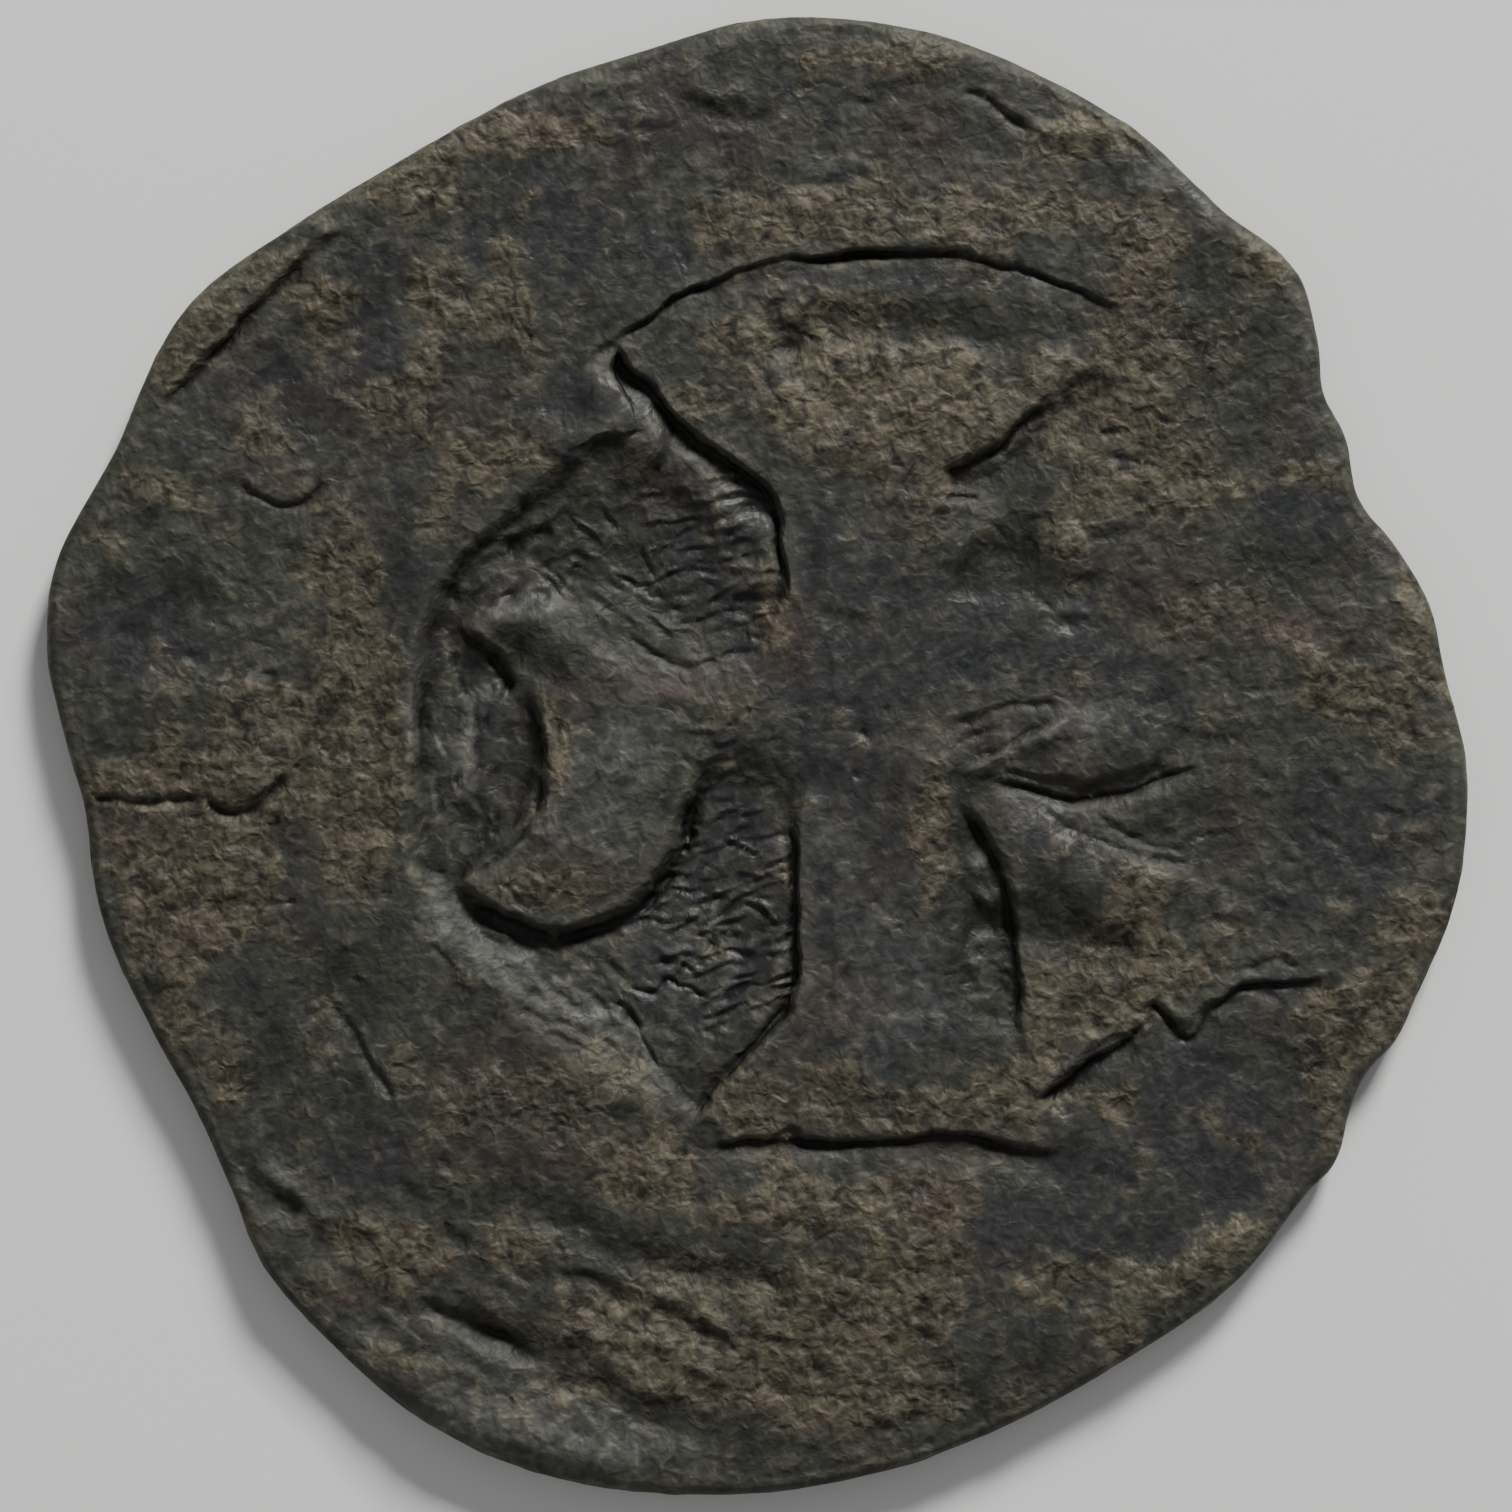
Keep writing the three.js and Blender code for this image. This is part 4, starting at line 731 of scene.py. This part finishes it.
def topHeight(x, y):
    tan, slate = crusts(x, y)
    toEdge = edgeReach(np.arctan2(y, x)) - np.hypot(x, y)
    full = struckHeight(x, y, tan, slate)
    edgeNoise = lumps(x, y, 0.9, seeds["edge"])
    grooveAt = (toEdge - coin["grooveIn"] - 0.05 * edgeNoise) / coin["grooveWidth"]
    grooved = smooth(0.5 + 1.5 * lumps(x, y, 2.4, seeds["groove"], 2))
    full = full - coin["grooveDepth"] * np.exp(-grooveAt ** 2) * grooved
    rough = coin["edge"] + 0.03 * edgeNoise
    height = lerp(rough, full, quarterRound(toEdge / (coin["roll"] * (1 + 0.5 * edgeNoise))))
    cap = cadBox[1].z / millimetre + coin["topSpare"]
    return cap - coin["topSoft"] * np.logaddexp(0, (cap - height) / coin["topSoft"])


# The plainer underside: a flat border with shallow strokes, a sunk field, a worn cross and pellets
back = {
    "fieldRadius": 5.8, "recess": 0.08, "slope": 0.5, "swell": 0.012, "pitDepth": 0.015,
    "armReach": 5, "armNeck": 0.65, "armFlare": 1.6, "armRise": 0.06,
    "pelletOut": 3.1, "pelletRadius": 0.8, "pelletRise": 0.05,
    "strokeCount": 34, "strokeRadius": 7.1, "strokeLength": 0.6, "strokeWidth": 0.16, "strokeDepth": 0.045,
}


def underHeight(x, y):
    radius = np.hypot(x, y)
    toEdge = edgeReach(np.arctan2(y, x)) - coin["underInset"] - radius
    along = np.maximum(np.abs(x), np.abs(y))
    across = np.minimum(np.abs(x), np.abs(y))
    armHalf = lerp(back["armNeck"], back["armFlare"], (along / back["armReach"]) ** 2)
    slope = back["slope"]
    arm = smooth((armHalf - across) / slope + 0.5) * smooth((back["armReach"] - along) / slope)
    out = back["pelletOut"] / math.sqrt(2)
    pellet = smooth((back["pelletRadius"] - np.hypot(along - out, across - out)) / slope) * (1 - arm)
    field = back["recess"] - back["armRise"] * arm - back["pelletRise"] * pellet
    field = field + back["swell"] * np.maximum(lumps(x, y, 1, seeds["underSwell"]), -0.5)
    sunk = field * smooth((back["fieldRadius"] - radius) / slope)
    rng = np.random.default_rng(seeds["strokes"])
    for i in range(back["strokeCount"]):
        turn = 2 * math.pi * (i + rng.uniform(-0.2, 0.2)) / back["strokeCount"]
        lean = turn + rng.uniform(-0.5, 0.5)
        reach = back["strokeLength"] * rng.uniform(0.6, 1.1)
        middle = np.array([math.cos(turn), math.sin(turn)]) * back["strokeRadius"]
        half = np.array([math.cos(lean), math.sin(lean)]) * reach
        distance, _, _ = nearestOnRun(x, y, np.array([middle - half, middle + half]))
        worn = rng.uniform(0.3, 1)
        sunk = sunk + worn * back["strokeDepth"] * np.exp(-(distance / back["strokeWidth"]) ** 2)
    pits = back["pitDepth"] * np.maximum(lumps(x, y, 0.6, seeds["underPits"]) - 0.35, 0)
    return lerp(coin["chamfer"], sunk + pits, quarterRound(toEdge / coin["underRoll"]))


def latticeDisc(rings):  # ring k has 6k points; returns each point's share and angle, and the faces
    share, angle, faces = [0.0], [0.0], []

    def indexAt(ring, step):
        return 0 if ring == 0 else 1 + 3 * ring * (ring - 1) + step % (6 * ring)

    for ring in range(1, rings + 1):
        steps = np.arange(6 * ring)
        share.extend([ring / rings] * len(steps))
        angle.extend(steps / (6 * ring) * 2 * math.pi)
        for sextant in range(6):
            for i in range(ring):
                outer, outerNext = (indexAt(ring, sextant * ring + i + more) for more in (0, 1))
                inner, innerNext = (indexAt(ring - 1, sextant * (ring - 1) + i + more) for more in (0, 1))
                faces.append((outer, outerNext, inner))
                if i + 1 < ring:
                    faces.append((inner, outerNext, innerNext))
    return np.array(share), np.array(angle), np.array(faces), indexAt(rings, 0)


def turned(rows, shift):  # each row of three turned round by its own shift
    return np.take_along_axis(rows, (np.arange(3) + shift[:, None]) % 3, axis=1)


def fan(*corners):  # faces from columns of corners
    return [np.column_stack(three) for three in corners]


# Splits the edges over which the face bends most; the rim's own points, from and to, keep their edges
def halvedWhereBent(points, faces, count, fixedFrom, fixedTo):
    sides = np.concatenate([faces[:, [0, 1]], faces[:, [1, 2]], faces[:, [2, 0]]])
    edges, which = np.unique(np.sort(sides, axis=1), axis=0, return_inverse=True)
    middles = points[edges].mean(axis=1)
    heights = topHeight(middles[:, 0], middles[:, 1])
    bend = np.abs(heights - middles[:, 2])
    bend[((edges >= fixedFrom) & (edges < fixedTo)).all(axis=1)] = 0
    picked = bend > np.partition(bend, -count)[-count]
    middles[:, 2] = heights
    number = np.where(picked, len(points) + np.cumsum(picked) - 1, -1)
    halves = number[which.reshape(-1)].reshape(3, -1).T
    split = (halves >= 0).sum(axis=1)
    made = [faces[split == 0]]
    f, h = faces[split == 1], halves[split == 1]
    shift = np.argmax(h >= 0, axis=1)
    (a, b, c), (ab, _, _) = turned(f, shift).T, turned(h, shift).T
    made += fan((a, ab, c), (ab, b, c))
    f, h = faces[split == 2], halves[split == 2]
    shift = np.argmax(h < 0, axis=1) + 1
    (a, b, c), (ab, bc, _) = turned(f, shift).T, turned(h, shift).T
    made += fan((ab, b, bc), (a, ab, bc), (a, bc, c))
    (a, b, c), (ab, bc, ca) = faces[split == 3].T, halves[split == 3].T
    made += fan((a, ab, ca), (ab, b, bc), (ca, bc, c), (ab, bc, ca))
    return np.vstack([points, middles[picked]]), np.vstack(made)


def localMean(points, reach):  # the mean height around each point, blurred over a square of cells
    cells, side = 700, 21.0
    ix, iy = ((points[:, i] / side + 0.5) * cells for i in (0, 1))
    index = ix.astype(int) * cells + iy.astype(int)
    count, total = (np.bincount(index, weights=weights, minlength=cells ** 2).reshape(cells, cells)
                    for weights in (None, points[:, 2]))
    line = np.exp(-2 * (math.pi * reach * np.fft.fftfreq(cells, side / cells)) ** 2)
    soften = np.outer(line, line)
    total, count = (np.fft.ifft2(np.fft.fft2(grid) * soften).real for grid in (total, count))
    return (total / np.maximum(count, 1e-3)).reshape(-1)[index]


def rimBetween(topEdge, lowEdge):  # rings of points down the rim, a little out in the middle
    rings = []
    for ring in range(1, coin["rimRings"] + 1):
        part = ring / (coin["rimRings"] + 1)
        middle = lerp(topEdge, lowEdge, part)
        out = 1 + coin["rimBulge"] * math.sin(math.pi * part)
        rough = coin["rimRough"] * lumps(middle[:, 0] + 3 * part, middle[:, 1], 0.5, seeds["rim"])
        middle[:, :2] *= out + rough[:, None]
        rings.append(middle)
    return rings


# How far a point stands above the metal around it: over what reach, against what rise, and how near the
# edge it begins to fade
# The patina paints shade into the low points and highlight onto the high ones by these
standing = {"raised": (0.1, 0.03, 0.2), "lifted": (0.45, 0.1, 0.3)}


def patinaGuides(points, top):  # values over the mesh that the patina, its painted shade and its painted highlights follow
    x, y, z = points.T
    tan, slate = crusts(x, y)
    onTop = np.arange(len(points)) < len(top)
    nearest = np.minimum(np.arange(len(points)), len(top) - 1)
    toEdge = edgeReach(np.arctan2(y, x)) - np.hypot(x, y)
    guides = {"tan": tan, "slate": slate}
    for name in ("russet", "paleWearAndHighlight", "darkGreenAndShade"):
        guides[name] = softPatch(x, y, name)
    guides["paleWearAndHighlight"] = guides["paleWearAndHighlight"] * onTop
    for name, (reach, rise, fade) in standing.items():
        around = np.where(onTop, localMean(top, reach)[nearest], z)
        guides[name] = (z - around) / rise * smooth(toEdge / fade)
    guides["rim"] = smooth(1 - toEdge / coin["rimTint"])
    return guides


def makeCoinMesh():
    share, angle, topFaces, topRim = latticeDisc(coin["topRings"])
    wobble = coin["wobble"] * lumps(np.cos(angle) * 9, np.sin(angle) * 9, 0.8, seeds["wobble"])
    radius = share * edgeReach(angle) + wobble * share ** 40
    x, y = radius * np.cos(angle), radius * np.sin(angle)
    top = np.column_stack([x, y, topHeight(x, y)])
    rimCount = 6 * coin["topRings"]
    for count in coin["halvings"]:
        top, topFaces = halvedWhereBent(top, topFaces, count, topRim, topRim + rimCount)
    print("struck face shaped:", len(top), "points")

    underRings = coin["topRings"] // 2
    share, angle, underFaces, underRim = latticeDisc(underRings)
    radius = share * (edgeReach(angle) - coin["underInset"])
    x, y = radius * np.cos(angle), radius * np.sin(angle)
    under = np.column_stack([x, y, underHeight(x, y)])
    print("underside shaped:", len(under), "points")

    lowEdge = np.repeat(under[underRim:], 2, axis=0)
    lowEdge[1::2] = (lowEdge[1::2] + np.roll(lowEdge[::2], -1, axis=0)) / 2
    sides = rimBetween(top[topRim:topRim + rimCount], lowEdge)

    steps = np.arange(rimCount)
    nextSteps = (steps + 1) % rimCount
    starts = [topRim] + [len(top) + ring * rimCount for ring in range(coin["rimRings"])]
    offset = len(top) + coin["rimRings"] * rimCount
    faces = [topFaces]
    for high, low in zip(starts[:-1], starts[1:]):
        faces += fan((low + steps, high + nextSteps, high + steps),
                     (low + steps, low + nextSteps, high + nextSteps))
    faces.append(underFaces[:, ::-1] + offset)
    half = np.arange(rimCount // 2)
    left, middle, right = (starts[-1] + (2 * half + i) % rimCount for i in range(3))
    low, lowNext = (offset + underRim + (half + i) % (rimCount // 2) for i in range(2))
    faces += fan((low, middle, left), (low, lowNext, middle), (lowNext, right, middle))
    faces = np.vstack(faces)

    points = np.vstack([top, *sides, under])
    guides = patinaGuides(points, top)
    points[:, :2] -= (points[:, :2].max(axis=0) + points[:, :2].min(axis=0)) / 2
    points[:, 2] -= points[:, 2].min()

    mesh = bpy.data.meshes.new("pennyRelief")
    mesh.from_pydata((points * millimetre).tolist(), [], faces.tolist())
    mesh.polygons.foreach_set("use_smooth", [True] * len(mesh.polygons))
    for name, values in guides.items():
        mesh.attributes.new(name, "FLOAT", "POINT").data.foreach_set("value", values.astype(np.float32))
    mesh.validate()
    mesh.update()
    print("coin mesh:", len(mesh.polygons), "triangles")
    return mesh


class ShaderValue:  # a shader socket in an expression
    def __init__(self, shader, socket):
        self.shader = shader
        self.socket = socket

    def maths(self, operation, first, second):
        return self.shader.node("ShaderNodeMath", {"operation": operation}, {0: first, 1: second})

    def __add__(self, other):
        return self.maths("ADD", self, other)

    def __radd__(self, other):
        return self.maths("ADD", other, self)

    def __sub__(self, other):
        return self.maths("SUBTRACT", self, other)

    def __rsub__(self, other):
        return self.maths("SUBTRACT", other, self)

    def __mul__(self, other):
        return self.maths("MULTIPLY", self, other)

    def __rmul__(self, other):
        return self.maths("MULTIPLY", other, self)

    def __abs__(self):
        return self.maths("ABSOLUTE", self, 0.0)


class Shader:  # a material's node tree
    def __init__(self, name):
        self.material = bpy.data.materials.new(name)
        self.material.use_nodes = True
        self.tree = self.material.node_tree
        self.surface = self.tree.nodes["Principled BSDF"]

    def node(self, kind, settings, values, output=0):
        made = self.tree.nodes.new(kind)
        for name, value in settings.items():
            setattr(made, name, value)
        self.fill(made, values)
        return ShaderValue(self, made.outputs[output])

    def fill(self, made, values):
        for name, value in values.items():
            if isinstance(value, ShaderValue):
                self.tree.links.new(value.socket, made.inputs[name])
            else:
                made.inputs[name].default_value = value

    def attribute(self, name):
        return self.node("ShaderNodeAttribute", {"attribute_name": name}, {}, "Fac")

    def mixColour(self, share, low, high):
        settings = {"data_type": "RGBA", "blend_type": "MIX", "clamp_factor": True}
        return self.node("ShaderNodeMix", settings, {0: share, 6: low, 7: high}, 2)

    def lit(self, colour, times):  # a colour made lighter or darker by a value
        return self.node("ShaderNodeVectorMath", {"operation": "SCALE"}, {0: colour, "Scale": times})

    def span(self, value, low, high, toLow=0.0, toHigh=1.0):
        values = {"Value": value, "From Min": low, "From Max": high, "To Min": toLow, "To Max": toHigh}
        return self.node("ShaderNodeMapRange", {"clamp": True}, values)

    def noise(self, place, size, detail, distortion):
        values = {"Vector": place, "Scale": 1 / (size * millimetre), "Detail": detail,
                  "Roughness": 0.55, "Distortion": distortion}
        return self.node("ShaderNodeTexNoise", {"noise_dimensions": "3D"}, values)


patina = {
    "olive": (0.041, 0.042, 0.034, 1),
    "slate": (0.0315, 0.0332, 0.0332, 1),
    "tan": (0.07, 0.059, 0.0375, 1),
    "brown": (0.046, 0.0375, 0.024, 1),
    # near black: painted shade in the cuts and hollows, with some dirt
    "shadeAndSoil": (0.003, 0.0027, 0.002, 1),
    # light: painted highlight and wear on the crests, also used for the light flecks
    "crest": (0.2, 0.187, 0.15, 1),
    # pale and sand: rubbed metal, and painted highlight on lit slopes and ridges
    "paleWearAndHighlight": (0.1, 0.1, 0.093, 1),
    "sand": (0.125, 0.109, 0.075, 1),
    # dark green: patina, and painted shade in hollows
    "darkGreenAndShade": (0.016, 0.018, 0.013, 1),
    "moss": (0.036, 0.041, 0.028, 1),
    "russet": (0.056, 0.038, 0.031, 1),
    "greenEdgeAndHighlight": (0.044, 0.047, 0.029, 1),
    "lightness": 0.96, "wormLight": 1.8, "grainLight": 0.9, "mottleLight": 1.3,
    "relief": 0.87, "moreOnTan": 0.73, "lessOnSlate": 0.2,  # how strongly the grain shows
    "fleckShare": 0.03, "fleckOnTan": 0.15, "russetShare": 0.7,
    "roughness": 0.62, "slateSmooth": 0.1, "grainRough": 0.3, "metallic": 0.12, "specular": 0.3,
    "bumpDepth": 0.048, "bumpGrain": 0.25, "bumpFleck": 0.05,
}
# The patina's grains: millimetres across, detail and how far each is pulled about
grains = {
    "worm": (0.21, 1.5, 0.45),
    "grain": (0.11, 1.0, 0.4),
    "mottle": (0.5, 4.0, 0.4),
    "hue": (1.3, 4.0, 0.3),
    "fleck": (0.25, 1.0, 0.9),
}
# How each layer of the patina, painted shade and highlight among them, comes in: the two values between
# which it grows, and its share at the second
layers = {
    "fleck": (0.11, 0.0, 1.0),
    "tan": (0.0, 0.95, 1.0),
    "slate": (0.12, 0.6, 1.0),
    "tanOnBrown": (-0.3, 0.1, 1.0),
    "reddened": (0.03, 0.18, 0.25),
    "mossed": (-0.03, -0.18, 0.5),
    "darkGreenAndShade": (0.0, 1.0, 0.8),
    # lighter where rubbed: wear, and painted highlight
    "rubbedAndHighlit": (0.1, 1.1, 0.7),
    # lighter on raised crests: painted highlight and wear
    "crest": (0.2, 1.6, 0.12),
    # darker in cuts and hollows: painted shade, with some dirt
    "shadeAndSoilInCuts": (-0.1, -1.3, 0.8),
    "shadeAndSoilInHollows": (-0.1, -1.2, 0.38),
}


def makePatina():
    shader = Shader("patinatedSilver")
    place = shader.node("ShaderNodeTexCoord", {}, {}, "Object")
    names = ("tan", "slate", "russet", "paleWearAndHighlight", "darkGreenAndShade", "raised", "lifted", "rim")
    tan, slate, russet, paleWearAndHighlight, darkGreenAndShade, raised, lifted, rim = (shader.attribute(name) for name in names)
    worm, grain, mottle, hue, fleck = (shader.noise(place, *grains[name]) - 0.5 for name in grains)
    mix = shader.mixColour

    def layer(name, value):
        low, high, share = layers[name]
        return shader.span(value, low, high, 0.0, share)

    fleck = layer("fleck", abs(fleck))
    tanEdge = layer("tan", tan + worm * 1.3 + mottle * 0.9)
    slateEdge = layer("slate", slate + worm * 0.6 - mottle * 0.8)
    body = mix(slateEdge, patina["olive"], patina["slate"])
    body = mix(tanEdge, body, mix(layer("tanOnBrown", mottle), patina["brown"], patina["tan"]))
    body = mix(layer("reddened", hue), body, patina["russet"])
    body = mix(layer("mossed", hue), body, patina["moss"])
    body = mix(russet * patina["russetShare"], body, patina["russet"])
    # darker green: patina, and painted shade in the hollows
    body = mix(layer("darkGreenAndShade", darkGreenAndShade + worm), body, patina["darkGreenAndShade"])
    # wear, and painted highlight on lit slopes and ridges
    body = mix(layer("rubbedAndHighlit", paleWearAndHighlight + worm), body, mix(tanEdge, patina["paleWearAndHighlight"], patina["sand"]))
    # greener patina along the rim, partly a painted highlight on the edge
    body = mix(rim * shader.span(mottle, -0.2, 0.2, 0.2, 0.8), body, patina["greenEdgeAndHighlight"])
    relief = patina["relief"] + patina["moreOnTan"] * tanEdge - patina["lessOnSlate"] * slateEdge
    light = (patina["lightness"] + relief * (worm * patina["wormLight"] + grain * patina["grainLight"])
             + mottle * patina["mottleLight"])
    body = shader.lit(body, light)
    body = mix(fleck * (patina["fleckShare"] + patina["fleckOnTan"] * tanEdge), body, patina["crest"])
    # painted highlight and wear on the raised crests
    body = mix(layer("crest", raised), body, patina["crest"])
    # painted shade, with some dirt, in the cuts and the hollows
    body = mix(layer("shadeAndSoilInCuts", raised), body, patina["shadeAndSoil"])
    body = mix(layer("shadeAndSoilInHollows", lifted), body, patina["shadeAndSoil"])

    rough = patina["roughness"] - patina["slateSmooth"] * slateEdge + patina["grainRough"] * grain
    height = relief * (worm + patina["bumpGrain"] * grain) + patina["bumpFleck"] * fleck
    bump = shader.node("ShaderNodeBump", {}, {
        "Strength": 1.0, "Distance": patina["bumpDepth"] * millimetre, "Height": height})
    shader.fill(shader.surface, {
        "Base Color": body, "Roughness": rough, "Metallic": patina["metallic"],
        "Specular IOR Level": patina["specular"], "Normal": bump})
    print("patina made")
    return shader.material


def makeCoin():
    piece = bpy.data.objects.new("pennyRelief", makeCoinMesh())
    bpy.context.collection.objects.link(piece)
    piece.data.materials.append(makePatina())
    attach(piece, coin["body"])
    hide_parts(coin["node"])
    print("coin made")


table = {"side": 0.6, "drop": 0.00001, "colour": (0.86, 0.85, 0.83, 1), "roughness": 0.8}


def makeTable():
    half, low = table["side"] / 2, -table["drop"]
    corners = [(-half, -half, low), (half, -half, low), (half, half, low), (-half, half, low)]
    mesh = bpy.data.meshes.new("studioFloor")
    mesh.from_pydata(corners, [], [(0, 1, 2, 3)])
    floor = bpy.data.objects.new("studioFloor", mesh)
    bpy.context.collection.objects.link(floor)
    shader = Shader("paleFloor")
    shader.fill(shader.surface, {"Base Color": table["colour"], "Roughness": table["roughness"]})
    mesh.materials.append(shader.material)
    print("floor made")


# The studio, in metres: a soft key from the photo's upper side, a weak fill and a pale surround
studio = {
    "key": {"place": (0.11, 0.27, 0.155), "size": 0.08, "power": 1.75},
    "fill": {"place": (-0.16, -0.14, 0.24), "size": 0.24, "power": 0.07},
    "surround": (0.96, 0.97, 1, 1),
    "surroundStrength": 0.22,
    "frameWidth": 0.02,      # what the picture spans at the coin
    "frameShift": -0.00002,  # the picture's middle lies just left of the coin's
    "lens": 150,
    "sensor": 36,
    "clipSpan": 100,         # how many times nearer and farther than the coin the camera still sees
}


def makeLight(name, place, size, power):
    data = bpy.data.lights.new(name, "AREA")
    data.size = size
    data.energy = power
    lamp = bpy.data.objects.new(name, data)
    lamp.location = place
    lamp.rotation_euler = (-Vector(place)).to_track_quat("-Z", "Y").to_euler()
    bpy.context.collection.objects.link(lamp)


def makeStudio():
    for name in ("key", "fill"):
        makeLight(name, **studio[name])
    world = bpy.data.worlds.new("surround")
    world.use_nodes = True
    sky = world.node_tree.nodes["Background"]
    sky.inputs["Color"].default_value = studio["surround"]
    sky.inputs["Strength"].default_value = studio["surroundStrength"]
    bpy.context.scene.world = world
    camera = bpy.data.cameras.new("camera")
    camera.lens = studio["lens"]
    camera.sensor_width = studio["sensor"]
    distance = studio["frameWidth"] * studio["lens"] / studio["sensor"]
    camera.clip_start, camera.clip_end = distance / studio["clipSpan"], distance * studio["clipSpan"]
    eye = bpy.data.objects.new("camera", camera)
    eye.location = (studio["frameShift"], 0, cadBox[1].z + distance)
    bpy.context.collection.objects.link(eye)
    bpy.context.scene.camera = eye
    print("studio made")


makeStudio()
makeTable()
makeCoin()
